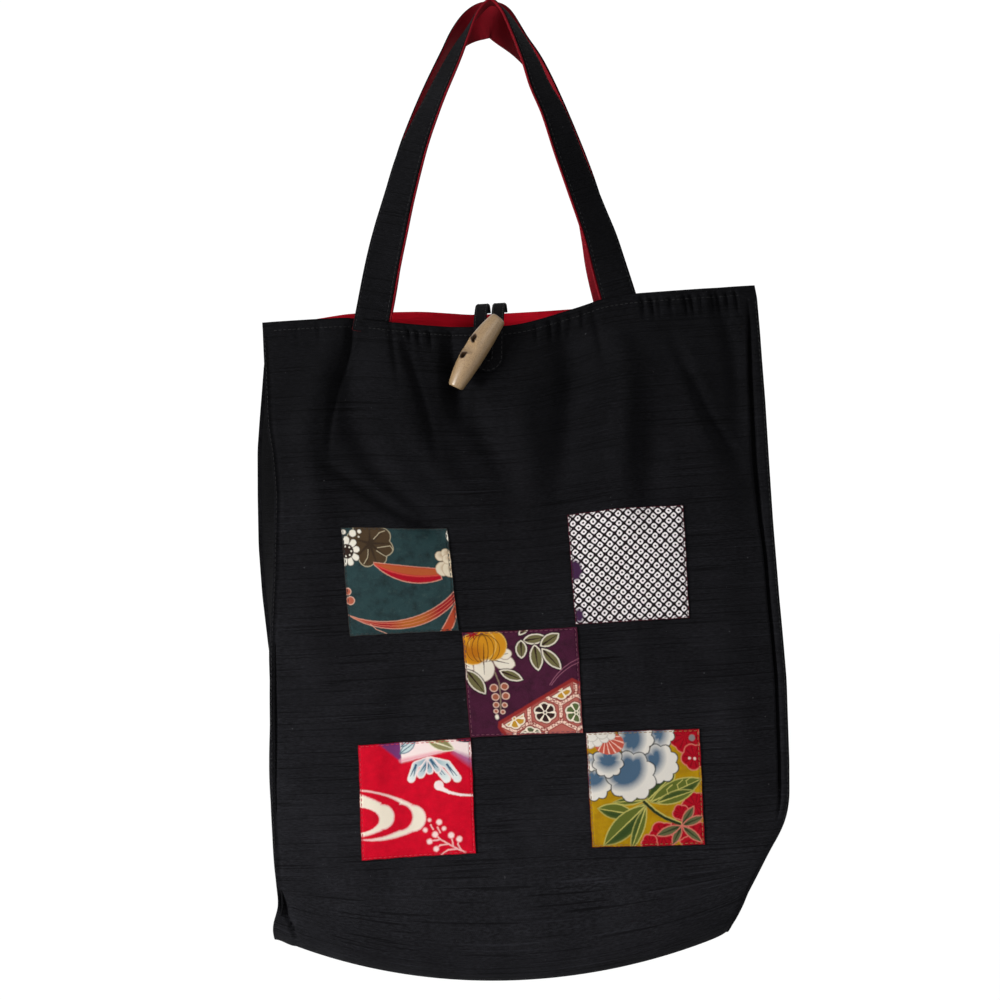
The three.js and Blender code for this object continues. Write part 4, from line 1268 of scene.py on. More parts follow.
def gusset_grid(side, inset, rows, stations):
    """A gusset's grid: from the front's side seam round to the back's, folded in at the mouth."""
    drop, turn, under = (part[rows[2][:, 0] == 0] for part in rows)
    lined = float(inset >= BEHIND_CLOTH)
    # A lining lies deeper at its seams, clear of the black cloth.
    sunk = lined * inset / BEHIND_CLOTH
    front_deep = BEHIND_CLOTH - 0.6 * smooth(drop / 30) + sunk * (2.4 + 3.0 * rise(drop, 330, 20))
    back_deep = BEHIND_CLOTH + sunk * (0.6 + 2.0 * rise(drop, 310, 20))
    front = panel_point(FRONT, side_x(FRONT, side, drop, turn), drop, turn, under, front_deep)
    back = panel_point(BACK, side_x(BACK, side, drop, turn), drop, turn, under, back_deep)
    t = stations[None, :]
    grid = lerp(front, back, t[..., None])
    swell = along_table(LEFT_SWELL if side < 0 else RIGHT_SWELL, drop, 10.0) * np.cos(turn)
    swell = swell * np.where(swell < 0, np.sin(np.pi * t) ** 2, 4 * t * (1 - t))
    ease = np.sin(np.pi * t) ** 2 * np.cos(turn) * smooth(drop / 40)
    crease = -2.2 * ridge(t - 0.5, 0.07) * (1 - 0.6 * rise(drop, 150, 150)) * ease
    slack = (0.9 * np.sin(drop / 27 + 4.5 * t) + 0.6 * np.sin(drop / 12.5 - 3.0 * t + side)) * ease
    grid[..., 0] += side * (swell + crease + slack - inset - 3.4 * lined * np.sin(np.pi * t))
    return grid, flat_places(t * GUSSET_WIDTH, -(drop + BASE_ROUND * turn))


def gusset_piece(name, side, inset, thickness, material):
    sizes = bpy.context.scene.tote_sizes
    rows, stations = panel_rows(sizes.row / MM), np.linspace(0, 1, 41)
    face, uv = gusset_grid(side, inset, rows, stations)
    back, _ = gusset_grid(side, inset + thickness, rows, stations)
    return cloth_piece(name, face, back, uv, material)


def front_seat(x, drop, lift):
    """Places on the front's cloth, lifted off it, with the way out of the cloth there."""
    def at(px, pd):
        return panel_point(FRONT, px, pd, 0.0 * px, 0.0 * px, -lift - front_relief(px, pd))

    x, drop = np.broadcast_arrays(np.asarray(x, float), np.asarray(drop, float))
    place = at(x, drop)
    across, down = at(x + 0.5, drop) - place, at(x, drop + 0.5) - place
    return place, unit(np.cross(down, across))


class TOTE_OT_panels(bpy.types.Operator):
    """Hangs the black front and back panels with their folds"""

    bl_idname = "tote.panels"
    bl_label = "Black panels"

    def execute(self, context):
        front = panel_piece("front_panel_cloth", FRONT, front_relief, FLANGE, 0.0, CLOTH, black())
        back = panel_piece("back_panel_cloth", BACK, back_relief, FLANGE, 0.0, CLOTH, black())
        for piece, node in ((front, "front_panel"), (back, "back_panel")):
            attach(piece, "bag")
            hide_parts(node)
        return {"FINISHED"}


class TOTE_OT_gussets(bpy.types.Operator):
    """Sews in the side gussets, folded in at the mouth and swelling below"""

    bl_idname = "tote.gussets"
    bl_label = "Side gussets"

    def execute(self, context):
        for name, side in (("left_gusset", -1), ("right_gusset", 1)):
            piece = gusset_piece(name + "_cloth", side, 0.0, CLOTH, gusset_painted_shade_black())
            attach(piece, "bag")
            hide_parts(name)
        return {"FINISHED"}


class TOTE_OT_linings(bpy.types.Operator):
    """Hangs the red lining inside the panels and gussets"""

    bl_idname = "tote.linings"
    bl_label = "Red linings"

    def execute(self, context):
        front = panel_piece(
            "front_lining_cloth", FRONT, front_relief, -LINING_EASE, BEHIND_CLOTH, LINING, red(),
        )
        back = panel_piece(
            "back_lining_cloth", BACK, back_relief, -LINING_EASE, BEHIND_CLOTH, LINING, red(),
        )
        left = gusset_piece("left_gusset_lining_cloth", -1, BEHIND_CLOTH, LINING, red())
        right = gusset_piece("right_gusset_lining_cloth", 1, BEHIND_CLOTH, LINING, red())
        for piece, node, width in (
            (front, "front_lining", 0.29), (back, "back_lining", 0.29),
            (left, "left_gusset_lining", 0.07), (right, "right_gusset_lining", 0.07),
        ):
            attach(piece, "bag")
            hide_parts(node)
        return {"FINISHED"}


# ------------------------------------------------------------------ patches


PATCHES = (
    ("teal", teal_motifs, srgb(44, 38, 36), srgb(30, 36, 36)),
    ("kanoko", kanoko_motifs, srgb(70, 14, 28), srgb(52, 22, 30)),
    ("plum", plum_motifs, srgb(74, 22, 38), srgb(104, 54, 70)),
    ("red", red_motifs, srgb(112, 2, 18), srgb(188, 46, 62)),
    ("mustard", mustard_motifs, srgb(96, 12, 20), srgb(140, 104, 60)),
)


def patch_place(name, u, v):
    """Across and drop of a place on a patch, given as shares of its sides."""
    corners = np.array(PATCH_CORNERS[name], float)
    u, v = np.asarray(u)[..., None], np.asarray(v)[..., None]
    top, bottom = (lerp(corners[a], corners[b], u) for a, b in ((0, 1), (3, 2)))
    place = lerp(top, bottom, v)
    return place[..., 0], place[..., 1]


def patch_piece(name, material):
    """A printed square, turned in at its edges, sewn down along them and a little full between."""
    edge = np.array([0, 0.25, 0.6, 1.0, 1.4, 1.8, 2.2, 2.7, 3.4]) / PATCH_SIDE
    share = np.concatenate([edge, np.linspace(edge[-1], 1 - edge[-1], 62)[1:-1], 1 - edge[::-1]])
    u, v = np.meshgrid(share, share)
    near = np.minimum(np.minimum(u, 1 - u), np.minimum(v, 1 - v)) * PATCH_SIDE
    wave = 0.1 * np.sin(u * 31 + v * 7) + 0.1 * np.sin(v * 29 - u * 5 + len(name))
    x, drop = patch_place(name, u, v)
    x = x + wave * (np.abs(u - 0.5) * 2) ** 8
    drop = drop + wave * (np.abs(v - 0.5) * 2) ** 8
    full = 0.35 * rise(near, 2.4, 9) + 0.25 * smooth(near / 0.6)
    height = GAP + PATCH_CLOTH + full - 0.42 * ridge(near - PATCH_SEAM, 0.5)
    face, _ = front_seat(x, drop, height)
    back, _ = front_seat(x, drop, GAP)
    uv = np.stack([u, v], -1) / MM
    return cloth_piece(f"{name}_patch_cloth", face, back, uv, material)


def patch_seam(name, inset):
    """The line of stitches round a patch, on its cloth."""
    low, high = inset / PATCH_SIDE, 1 - inset / PATCH_SIDE
    t = np.linspace(0, 1, 60, endpoint=False)
    u = np.concatenate([lerp(low, high, t), high + 0 * t, lerp(high, low, t), low + 0 * t])
    v = np.concatenate([low + 0 * t, lerp(low, high, t), high + 0 * t, lerp(high, low, t)])
    path, out = front_seat(*patch_place(name, u, v), GAP + PATCH_CLOTH - 0.05)
    return path, out, True


class TOTE_OT_patches(bpy.types.Operator):
    """Sews the five printed patches onto the front"""

    bl_idname = "tote.patches"
    bl_label = "Printed patches"

    def execute(self, context):
        colours, sizes = context.scene.tote_colours, context.scene.tote_sizes
        for name, motifs, edge, thread in PATCHES:
            ground = getattr(colours, name)[:]
            material = get_material(name + "_printed_cotton", printed_cotton, ground, motifs, edge)
            piece = patch_piece(name, material)
            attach(piece, "bag")
            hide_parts(name + "_patch")
            name + "_print"
            seam = [patch_seam(name, sizes.patch_seam / MM)]
            yarn = get_material(name + "_thread", sewing_thread, thread)
            threads = stitched(name + "_patch_stitches", seam, yarn)
            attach(threads, "bag")
            name + "_print"
        return {"FINISHED"}


# ------------------------------------------------------------------ handles


# Each handle: which way its black face looks, the depth of its feet and its crown, how far it is
# turned at shares of its length, and its middle line in x and z from the left foot to the right.
HANDLES = {
    "front": {
        "facing": -1.0, "foot_y": -7.9, "crown_y": -13.0,
        "turn": (
            (
                0, 0.065, 0.14, 0.195, 0.25, 0.295, 0.345, 0.4, 0.427, 0.452, 0.47, 0.5, 0.53,
                0.555, 0.58, 0.61, 0.655, 0.7, 0.75, 0.8, 0.86, 0.93, 1,
            ),
            (
                0, 8, 18, 31, 36, 46, 56, 62, 68, 76, 84, 88, 80, 74, 68, 62, 54, 46, 40, 36, 30,
                15, 0,
            ),
        ),
        "line": (
            (-85.8, -184), (-83.8, -175.3), (-75.9, -141.9), (-71, -124.3), (-64, -101.4),
            (-54.2, -73), (-41.3, -46), (-29.5, -23.9), (-18, -3.6), (-9.5, 9), (-1, 15.6),
            (6.6, 10), (14.6, -4.5), (22, -22.1), (27.2, -37.8), (34.4, -54.2), (42.4, -79.8),
            (50, -103.6), (54.6, -117.9), (59.2, -132.9), (63.4, -150.9), (68.4, -172),
            (70.4, -180),
        ),
    },
    "rear": {
        "facing": 1.0, "foot_y": 30.4, "crown_y": 10.0,
        "turn": (
            (
                0, 0.15, 0.3, 0.4, 0.44, 0.456, 0.472, 0.492, 0.51, 0.54, 0.562, 0.59, 0.62, 0.7,
                0.85, 1,
            ),
            (0, 45, 64, 72, 73, 66, 56, 36, 14, 36, 57, 67, 68, 64, 45, 0),
        ),
        "line": (
            (-87, -178), (-85.2, -170.1), (-77, -136.9), (-72.8, -118.9), (-66, -95.6),
            (-57, -66.8), (-45, -39.6), (-32.4, -15.4), (-24.2, -2.2), (-15.6, 5.0), (-8.4, 8.2),
            (-3.8, 9.2), (-0.4, 9.0), (2.8, 7.8), (7.6, 2.8), (16.6, -7.4), (25, -18.8),
            (36.4, -45), (45.7, -72.7), (52.8, -97.9), (59, -127.2), (61.7, -145.6), (66, -168),
            (67.6, -176),
        ),
    },
}


def bend_through(points, count):
    """A smooth line through points, by centripetal spans, at even steps of its length."""
    points = np.asarray(points, float)
    ends = np.concatenate([[2 * points[0] - points[1]], points, [2 * points[-1] - points[-2]]])
    line = []
    for k in range(1, len(ends) - 2):
        p = ends[k - 1 : k + 3]
        knots = np.concatenate([[0], np.cumsum(np.diff(run_along(p)) ** 0.5)])
        for t in np.linspace(knots[1], knots[2], 24, endpoint=k == len(ends) - 3):
            a = [lerp(p[i], p[i + 1], (t - knots[i]) / (knots[i + 1] - knots[i])) for i in range(3)]
            b = [lerp(a[i], a[i + 1], (t - knots[i]) / (knots[i + 2] - knots[i])) for i in range(2)]
            line.append(lerp(b[0], b[1], (t - knots[1]) / (knots[2] - knots[1])))
    line = np.array(line)
    run = run_along(line)
    return read_line(np.linspace(0, run[-1], count), run, line), run[-1]


def strap_frame(name, along):
    """Middle, width direction and outward normal of a handle, from the left foot to the right."""
    handle = HANDLES[name]
    line, _ = bend_through(handle["line"], 1201)
    window = np.full(25, 1 / 25)
    heading = np.pad(np.gradient(line, axis=0), ((12, 12), (0, 0)), "edge")
    heading = unit(np.stack([np.convolve(part, window, "valid") for part in heading.T], -1))
    share = np.linspace(0, 1, len(line))
    middle, ahead = read_line(along, share, line), read_line(along, share, heading)
    outward = unit(np.stack([-ahead[:, 1], 0 * along, ahead[:, 0]], -1))
    turn = np.radians(along_table(handle["turn"], along, 0.015))[:, None]
    facing = np.array([[0.0, handle["facing"], 0.0]])
    width = outward * np.cos(turn) - facing * np.sin(turn)
    normal = outward * np.sin(turn) + facing * np.cos(turn)
    y = lerp(handle["foot_y"], handle["crown_y"], smooth(1 - np.abs(2 * along - 1)))
    return np.stack([middle[:, 0], y, middle[:, 1]], -1), width, normal


def strap_length(name):
    return bend_through(HANDLES[name]["line"], 2)[1]


def strap_grid(name, along, across, inset):
    middle, width, normal = (part[:, None] for part in strap_frame(name, along))
    return middle + width * across[None, :, None] - normal * inset[None, :, None]


def strap_pieces(name):
    """A handle's black strip, the red lining that rolls out along one edge, and the stitches."""
    along = np.linspace(0, 1, 281)
    run = (along * strap_length(name))[:, None]

    def sewn(part, across, shift, face, back, material):
        grids = (strap_grid(name, along, across + shift, inset) for inset in (face, back))
        return cloth_piece(f"{name}_handle_{part}", *grids, flat_places(across, run), material)

    half = STRAP_FACE / 2
    seam = half - bpy.context.scene.tote_sizes.strap_seam / MM
    across = strip_columns(half, (0, 0.25, 0.7, 1.1), 17)
    edge = half - np.abs(across)
    face = 0.32 * ridge(np.abs(across) - seam, 0.6) + 0.4 * ridge(edge, 0.3)
    face = face - 0.2 * smooth(edge / 5)
    strip = sewn("strip", across, STRAP_SHIFT, face, 0 * face + CLOTH, black())
    half = STRAP_WIDTH / 2
    across = strip_columns(half, (0, 0.3, 0.8, 1.4, 2.0, 2.6), 15)
    edge = half - np.abs(across)
    front = 1.3 - 1.15 * smooth((1.4 - edge) / 0.9) * (across < 0) + 0.55 * ridge(edge, 0.35)
    back = 2.0 - 0.5 * ridge(edge, 0.4) + 0.12 * smooth(edge / 4)
    lining = sewn("red", across, 0.0, front, back, strap_painted_shade_red())
    middle, width, normal = strap_frame(name, np.linspace(0.004, 0.996, 400))
    paths = (middle + width * (s * seam + STRAP_SHIFT) - normal * 0.22 for s in (-1, 1))
    lines = [(path, normal, False) for path in paths]
    threads = stitched(f"{name}_handle_stitches", lines, black_thread())
    return strip, lining, threads


class TOTE_OT_handles(bpy.types.Operator):
    """Sews the two lined handles, twisted where they meet at the crown"""

    bl_idname = "tote.handles"
    bl_label = "Lined handles"

    def execute(self, context):
        for name in HANDLES:
            strip, lining, threads = strap_pieces(name)
            y, foot = HANDLES[name]["foot_y"] * MM, -MOUTH_DROP * MM
            for piece, slot in (
                (strip, "black_cotton"), (lining, "red_cotton"), (threads, "black_cotton"),
            ):
                foot - 0.002
                foot + 0.02
                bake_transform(piece)
            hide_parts(f"{name}_handle_outer")
            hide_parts(f"{name}_handle_lining")
            length = strap_length(name) * MM
        return {"FINISHED"}


# ------------------------------------------------------------------ seams


class TOTE_OT_seams(bpy.types.Operator):
    """Stitches the hem and the side edges"""

    bl_idname = "tote.seams"
    bl_label = "Hem and side stitches"

    def execute(self, context):
        hem = context.scene.tote_sizes.hem / MM
        lines = []
        x = np.linspace(-HALF + 4, HALF - 7, 300)
        path, out = front_seat(x, hem + 0 * x, 0.05)
        lines.append((path, out, False))
        drop = np.linspace(9, PANEL_HEIGHT - 62, 260)
        for side, inset in ((1, 1.4), (-1, 1.2)):
            path, out = front_seat(side_x(FRONT, side, drop) + side * (FLANGE - inset), drop, 0.05)
            lines.append((path, out, False))
        x = np.linspace(-HALF + 4, HALF - 4, 300)
        back = panel_point(BACK, x, hem + 0 * x, 0 * x, 0 * x, -0.05 - back_relief(x, hem + 0 * x))
        lines.append((back, np.broadcast_to([0.0, 1.0, 0.0], back.shape), False))
        threads = stitched("hem_stitches", lines, black_thread())
        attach(threads, "bag")
        return {"FINISHED"}


# ------------------------------------------------------------------ closure loop


def loop_path(count):
    """The loop's middle line in y and z: from the back edge, over the mouth and down the front."""
    x = LOOP_X + LOOP_SLANT / 2
    lift = GAP + LOOP_CLOTH / 2
    reach = (LOOP_SPREAD + LOOP_STRIP + LOOP_SLANT) / 2
    behind = BACK_DEPTH - BEHIND_CLOTH
    over = float(front_y(x, 0.0)) - lift

    def edge(panel):
        return max(float(hang_z(x + dx, 0.0, panel["edge"])) for dx in (-reach, 0.0, reach))

    top = edge(BACK) + LOOP_ARCH
    points = [
        (behind, edge(BACK) + GAP), (behind, top - LOOP_CLOTH),
        (behind - LOOP_ARCH, top + LOOP_CLOTH), ((behind + over) / 2, top),
        (over + LOOP_ARCH, edge(FRONT) + 1.5 * LOOP_ARCH), (over, edge(FRONT) + LOOP_CLOTH),
    ]
    for drop in (LOOP_DROP / 3, LOOP_DROP):
        points.append((float(front_y(x, drop)) - lift, float(hang_z(x, drop, FRONT_EDGE))))
    return bend_through(points, count)


def loop_outline():
    """Places along the hairpin: sideways, along the path, and the strip's sideways direction."""
    _, length = loop_path(200)
    bend = LOOP_SPREAD / 2
    straight = length - bend - LOOP_STRIP / 2
    down = [(-bend, s, -1.0, 0.0) for s in np.linspace(0, straight, 70)[:-1]]
    turns = [(math.cos(a), math.sin(a)) for a in np.pi * (1 - np.linspace(0, 1, 25))]
    round_ = [(bend * c, straight + bend * s, c, s) for c, s in turns]
    back = [(bend, s, 1.0, 0.0) for s in np.linspace(straight, 0, 70)[1:]]
    return np.array(down + round_ + back), length


def loop_grid(across, lift):
    """Places on the loop's strip, across it and lifted from its middle."""
    outline, length = loop_outline()
    path, _ = loop_path(600)
    run = np.linspace(0, length, len(path))
    heading = unit(np.gradient(path, axis=0))
    s = outline[:, 1, None] + across[None] * outline[:, 3, None]
    y, z = (np.interp(s, run, path[:, k]) for k in range(2))
    hy, hz = (np.interp(s, run, heading[:, k]) for k in range(2))
    x = LOOP_X + LOOP_SLANT * (1 - s / length) + outline[:, 0, None]
    x = x + across[None] * outline[:, 2, None]
    out = np.stack([0 * hy, hz, -hy], -1)
    return np.stack([x, y, z], -1) + out * lift[None, :, None], out


class TOTE_OT_loop(bpy.types.Operator):
    """Folds the closure loop's strip into a hairpin over the mouth"""

    bl_idname = "tote.loop"
    bl_label = "Closure loop"

    def execute(self, context):
        half = LOOP_STRIP / 2
        across = strip_columns(half, (0, 0.2, 0.6, 1.0), 9)
        edge = half - np.abs(across)
        thick = LOOP_CLOTH / 2 * (1 - 0.75 * ridge(edge, 0.35)) - 0.14 * ridge(edge - 1.1, 0.4)
        face, _ = loop_grid(across, thick)
        back, _ = loop_grid(across, -thick)
        outline, _ = loop_outline()
        run = run_along(outline[:, :2])
        uv = flat_places(across, run[:, None])
        strip = cloth_piece("closure_loop_strip", face, back, uv, black())
        seams = []
        for side in (-1, 1):
            path, out = loop_grid(np.array([side * (half - 1.1)]), np.array([LOOP_CLOTH / 2 - 0.1]))
            seams.append((path[:, 0], out[:, 0], False))
        threads = stitched("closure_loop_stitches", seams, black_thread())
        for piece in (strip, threads):
            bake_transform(piece)
        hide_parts("closure_loop")
        return {"FINISHED"}


# ------------------------------------------------------------------ toggle


def shank_frame():
    """Where the toggle's cord leaves the cloth: its place, then the ways beside, along and out."""
    def on(x, drop):
        place = panel_point(FRONT, np.array(x), np.array(drop), np.array(0.0), np.array(0.0), 0.0)
        return Vector(place.tolist())

    at = on(TOGGLE_X, TOGGLE_DROP)
    across = on(TOGGLE_X + 1, TOGGLE_DROP) - at
    down = on(TOGGLE_X, TOGGLE_DROP + 1) - at
    out = down.cross(across).normalized()
    along = (Matrix.Rotation(-math.radians(TOGGLE_TILT), 3, out) @ -down).normalized()
    return at, along.cross(out), along, out


def toggle_matrix():
    """The toggle's own frame, with its axis along Y and its holes along Z, in metres."""
    at, beside, along, out = shank_frame()
    basis = Matrix((beside, along, out)).transposed().to_4x4()
    basis.translation = at * MM
    roll = Matrix.Rotation(-math.radians(TOGGLE_ROLL), 4, "Y")
    rolled = Matrix.Translation((0, 0, SHANK * MM)) @ roll
    return basis, basis @ rolled @ Matrix.Translation((0, 0, TOGGLE_RADIUS * MM))


def turned_tube(middles, radii, up, sides):
    """A closed tube of given radii along middles, in millimetres, with pinched ends."""
    middles, radii = np.asarray(middles, float), np.asarray(radii, float)
    ahead = unit(np.gradient(middles, axis=0))
    side = unit(np.cross(ahead, np.asarray(up, float)[None]))
    third = np.cross(side, ahead)
    angle = 2 * np.pi * np.arange(sides) / sides
    rings = middles[:, None] + radii[:, None, None] * (
        side[:, None] * np.cos(angle)[None, :, None] + third[:, None] * np.sin(angle)[None, :, None]
    )
    count = len(middles)
    grid = np.arange(count * sides).reshape(count, sides)
    after = np.roll(grid, -1, axis=1)
    quads = np.stack([grid[:-1], after[:-1], after[1:], grid[1:]], -1).reshape(-1, 4)
    caps = np.array([(0, k, k + 1, k + 2) for k in range(1, sides - 2, 2)])
    ends = np.concatenate([caps[:, ::-1], caps + (count - 1) * sides])
    return rings.reshape(-1, 3), np.concatenate([quads, ends])


def cut_away(piece, cutter):
    """Cuts one mesh out of another and removes the cutter."""
    cut = piece.modifiers.new("cut", "BOOLEAN")
    cut.operation, cut.solver, cut.object = "DIFFERENCE", "EXACT", cutter
    apply_modifiers(piece)
    bpy.data.objects.remove(cutter)


def apply_modifiers(piece):
    """Makes a piece's modifiers part of its mesh."""
    evaluated = piece.evaluated_get(bpy.context.evaluated_depsgraph_get())
    mesh = bpy.data.meshes.new_from_object(evaluated)
    piece.modifiers.clear()
    piece.data = mesh


def tube_piece(name, middles, radii, up, sides, material=None):
    points, faces = turned_tube(middles, radii, up, sides)
    ring, place = np.divmod(np.arange(len(points)), sides)
    return new_piece(name, points, faces, np.stack([ring, place], -1) * 0.3 * MM, material)


class TOTE_OT_toggle(bpy.types.Operator):
    """Turns the wooden toggle, drills and scoops it, and ties it on with its cord"""

    bl_idname = "tote.toggle"
    bl_label = "Wooden toggle"

    def execute(self, context):
        basis, place = toggle_matrix()
        self.spindle(place)
        self.cord(basis)
        return {"FINISHED"}

    def spindle(self, place):
        half = TOGGLE_LENGTH / 2
        ends = np.array([0.992, 0.999, 1])
        t = np.concatenate([-ends[::-1], np.linspace(-0.975, 0.975, 61), ends])
        ease = np.clip((1 - np.abs(t)) * half / 1.0, 0, 1)
        rounding = 1.0 * (1 - np.sqrt(1 - (1 - ease) ** 2))
        radii = lerp(TOGGLE_RADIUS, TOGGLE_END_RADIUS, t**2) - rounding
        middles = np.stack([0 * t, t * half, -TOGGLE_BOW * t**2], -1)
        toggle = tube_piece("wooden_toggle", middles, radii, (0, 0, 1), 80)
        deep = 3 * TOGGLE_RADIUS
        for side in (-1, 1):
            y = side * HOLE_SPREAD / 2
            line = [(0, y, z) for z in np.linspace(-deep, deep, 3)]
            cut_away(toggle, tube_piece("drill", line, [HOLE_RADIUS] * 3, (0, 1, 0), 32))
        z = TOGGLE_RADIUS + SCOOP_RADIUS - SCOOP_DEPTH
        line = [(x, 0, z) for x in np.linspace(-deep, deep, 3)]
        cut_away(toggle, tube_piece("gouge", line, [SCOOP_RADIUS] * 3, (0, 0, 1), 64))
        remesh = toggle.modifiers.new("remesh", "REMESH")
        remesh.mode, remesh.voxel_size, remesh.use_smooth_shade = "VOXEL", TOGGLE_VOXEL * MM, True
        soften = toggle.modifiers.new("soften", "SMOOTH")
        soften.factor, soften.iterations = 0.5, 5
        apply_modifiers(toggle)
        toggle.data.transform(place)
        across, along = (place.to_3x3().col[k].normalized() for k in (0, 1))
        wood = get_material("pale_toggle_wood", turned_wood, along, across, place.translation)
        toggle.data.materials.append(wood)
        toggle.data.polygons.foreach_set("use_smooth", np.ones(len(toggle.data.polygons), bool))
        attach(toggle, "toggle")
        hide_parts("toggle")

    def cord(self, basis):
        turn = math.radians(TOGGLE_ROLL)
        roll = np.array([-math.sin(turn), 0.0, math.cos(turn)])

        def in_hole(side, depth):
            return roll * depth + np.array([0.0, side * HOLE_SPREAD / 2, SHANK])

        depths = (2 * TOGGLE_RADIUS - CORD_SINK, TOGGLE_RADIUS, -1.5 * CORD_RADIUS)
        pinch = {s: [np.array([0.0, s * CORD_PINCH, SHANK / 2])] for s in (-1, 1)}
        legs = {s: [in_hole(s, d) for d in depths] + pinch[s] for s in (-1, 1)}
        points = legs[-1] + [np.array([0.0, 0.0, CORD_EASE + CORD_RADIUS])] + legs[1][::-1]
        line, length = bend_through(points, 90)
        radii = np.full(len(line), CORD_RADIUS)
        cord = tube_piece("toggle_cord_loop", line, radii, (1, 0, 0), 12, black_thread())
        cord.data.transform(basis)
        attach(cord, "toggle")
        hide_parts("toggle_cord")
        route = [tuple(basis @ (Vector(p.tolist()) * MM)) for p in line]
        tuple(route[0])


# ------------------------------------------------------------------ stage


# The camera: its roll in degrees, how far it stands from its aim, and the width it takes in there.
CAMERA_ROLL, CAMERA_DISTANCE, CAMERA_WIDTH, SENSOR = 3.0, 1.22, 0.6047, 36.0
CAMERA_AIM = (-0.0114, -0.03, -0.2909)
# Lamps: name, place, size and power. All look at one place on the bag.
LAMPS = (("key_light", (-1.75, -1.2, -0.5), 0.8, 56.0), ("fill_light", (0.7, -1.8, 0.5), 1.2, 7.0))
LAMP_AIM = (0.0, 0.0, -0.33)
SKY_LIGHT, BACKDROP_LIGHT, FLOOR_GLOW = 0.26, 1.05, 0.95
FLOOR_REACH, FLOOR_DROP, FLOOR_DEPTH = 4000.0, 700.0, 20.0


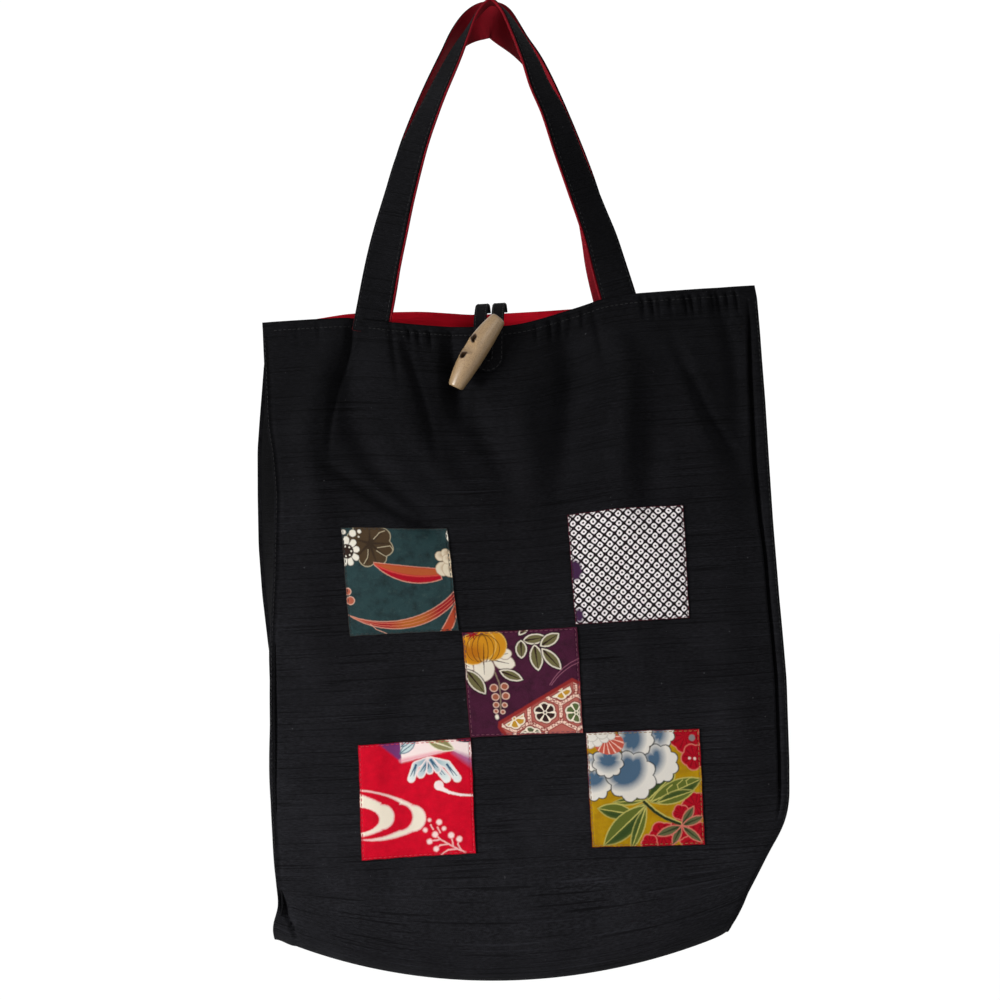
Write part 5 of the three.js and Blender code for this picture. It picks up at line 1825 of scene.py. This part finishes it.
class TOTE_OT_stage(bpy.types.Operator):
    """Sets the pale floor, the soft studio light and the camera"""

    bl_idname = "tote.stage"
    bl_label = "Floor, light and camera"

    def execute(self, context):
        self.camera(context.scene)
        self.floor()
        self.world(context.scene)
        for lamp in LAMPS:
            self.lamp(context.scene, *lamp)
        context.scene.view_settings.view_transform = "Standard"
        return {"FINISHED"}

    def camera(self, scene):
        data = bpy.data.cameras.new("photo_camera")
        camera = bpy.data.objects.new("photo_camera", data)
        scene.collection.objects.link(camera)
        data.sensor_width = SENSOR
        data.lens = SENSOR * CAMERA_DISTANCE / CAMERA_WIDTH
        data.clip_start = 0.05
        lean, rest = math.sin(math.radians(CAMERA_ROLL)), math.cos(math.radians(CAMERA_ROLL))
        right, up, back = (rest, 0.0, -lean), (lean, 0.0, rest), (0.0, -1.0, 0.0)
        matrix = Matrix((right, up, back)).transposed().to_4x4()
        matrix.translation = Vector(CAMERA_AIM) + Vector(back) * CAMERA_DISTANCE
        camera.matrix_world = matrix
        scene.camera = camera

    def floor(self):
        steps = np.linspace(-FLOOR_REACH, FLOOR_REACH, 9)
        x, y = np.meshgrid(steps, steps)
        heights = (0 * x - FLOOR_DROP - deep for deep in (0.0, FLOOR_DEPTH))
        top, under = (np.stack([x, y, z], -1) for z in heights)
        piece = cloth_piece("pale_floor", top, under, flat_places(x, y), self.floor_paint())

    def seen(self, start):
        """One for rays that show the background: from the camera, off gloss and through glass."""
        rays = start.node("ShaderNodeLightPath", output="Is Camera Ray")
        outputs = rays.socket.node.outputs
        glossy, through = (
            Value(rays.tree, outputs[name]) for name in ("Is Glossy Ray", "Is Transmission Ray")
        )
        return rays.maths("MAXIMUM", glossy).maths("MAXIMUM", through)

    def floor_paint(self):
        material, shader, start = new_material("pale_floor_paint")
        tree = material.node_tree
        shader.inputs["Base Color"].default_value = (0.9, 0.9, 0.9, 1.0)
        shader.inputs["Roughness"].default_value = 0.9
        shader.inputs["Specular IOR Level"].default_value = 0.0
        sockets = {"Color": opaque(WHITE), "Strength": BACKDROP_LIGHT}
        glow = start.node("ShaderNodeEmission", None, sockets)
        paint = Value(tree, shader.outputs["BSDF"])
        sockets = {0: self.seen(start) * FLOOR_GLOW, 1: paint, 2: glow}
        both = start.node("ShaderNodeMixShader", None, sockets)
        output = next(n for n in tree.nodes if n.bl_idname == "ShaderNodeOutputMaterial")
        tree.links.new(both.socket, output.inputs["Surface"])
        return material

    def world(self, scene):
        world = bpy.data.worlds.new("studio")
        scene.world = world
        world.use_nodes = True
        tree = world.node_tree
        tree.nodes.clear()
        start = Value(tree)
        light, white = (
            start.node("ShaderNodeBackground", None, {"Color": opaque(WHITE), "Strength": strength})
            for strength in (SKY_LIGHT, BACKDROP_LIGHT)
        )
        both = start.node("ShaderNodeMixShader", None, {0: self.seen(start), 1: light, 2: white})
        output = tree.nodes.new("ShaderNodeOutputWorld")
        tree.links.new(both.socket, output.inputs["Surface"])

    def lamp(self, scene, name, place, size, power):
        data = bpy.data.lights.new(name, "AREA")
        data.shape, data.size, data.energy = "DISK", size, power
        lamp = bpy.data.objects.new(name, data)
        lamp.location = place
        way = Vector(LAMP_AIM) - Vector(place)
        lamp.rotation_euler = way.to_track_quat("-Z", "Y").to_euler()
        scene.collection.objects.link(lamp)


class TOTE_PT_sidebar(bpy.types.Panel):
    """Lists the bag's sizes, colours and pieces"""

    bl_idname = "TOTE_PT_sidebar"
    bl_label = "Patchwork Tote"
    bl_space_type = "VIEW_3D"
    bl_region_type = "UI"
    bl_category = "Tote Bag"

    def draw(self, context):
        for group in (context.scene.tote_sizes, context.scene.tote_colours):
            box = self.layout.box()
            for name in group.__annotations__:
                box.prop(group, name)
        for operator in STEPS:
            self.layout.operator(operator.bl_idname)


STEPS = (
    TOTE_OT_stage, TOTE_OT_toggle, TOTE_OT_panels, TOTE_OT_gussets, TOTE_OT_linings,
    TOTE_OT_patches, TOTE_OT_handles, TOTE_OT_seams, TOTE_OT_loop,
)
CLASSES = (ToteSizes, ToteColours, *STEPS, TOTE_PT_sidebar)


def register():
    for one in CLASSES:
        bpy.utils.register_class(one)
    bpy.types.Scene.tote_sizes = bpy.props.PointerProperty(type=ToteSizes)
    bpy.types.Scene.tote_colours = bpy.props.PointerProperty(type=ToteColours)


def unregister():
    del bpy.types.Scene.tote_colours
    del bpy.types.Scene.tote_sizes
    for one in reversed(CLASSES):
        bpy.utils.unregister_class(one)


def main():
    register()
    for operator in STEPS:
        group, name = operator.bl_idname.split(".")
        getattr(getattr(bpy.ops, group), name)()


if __name__ == "__main__":
    main()
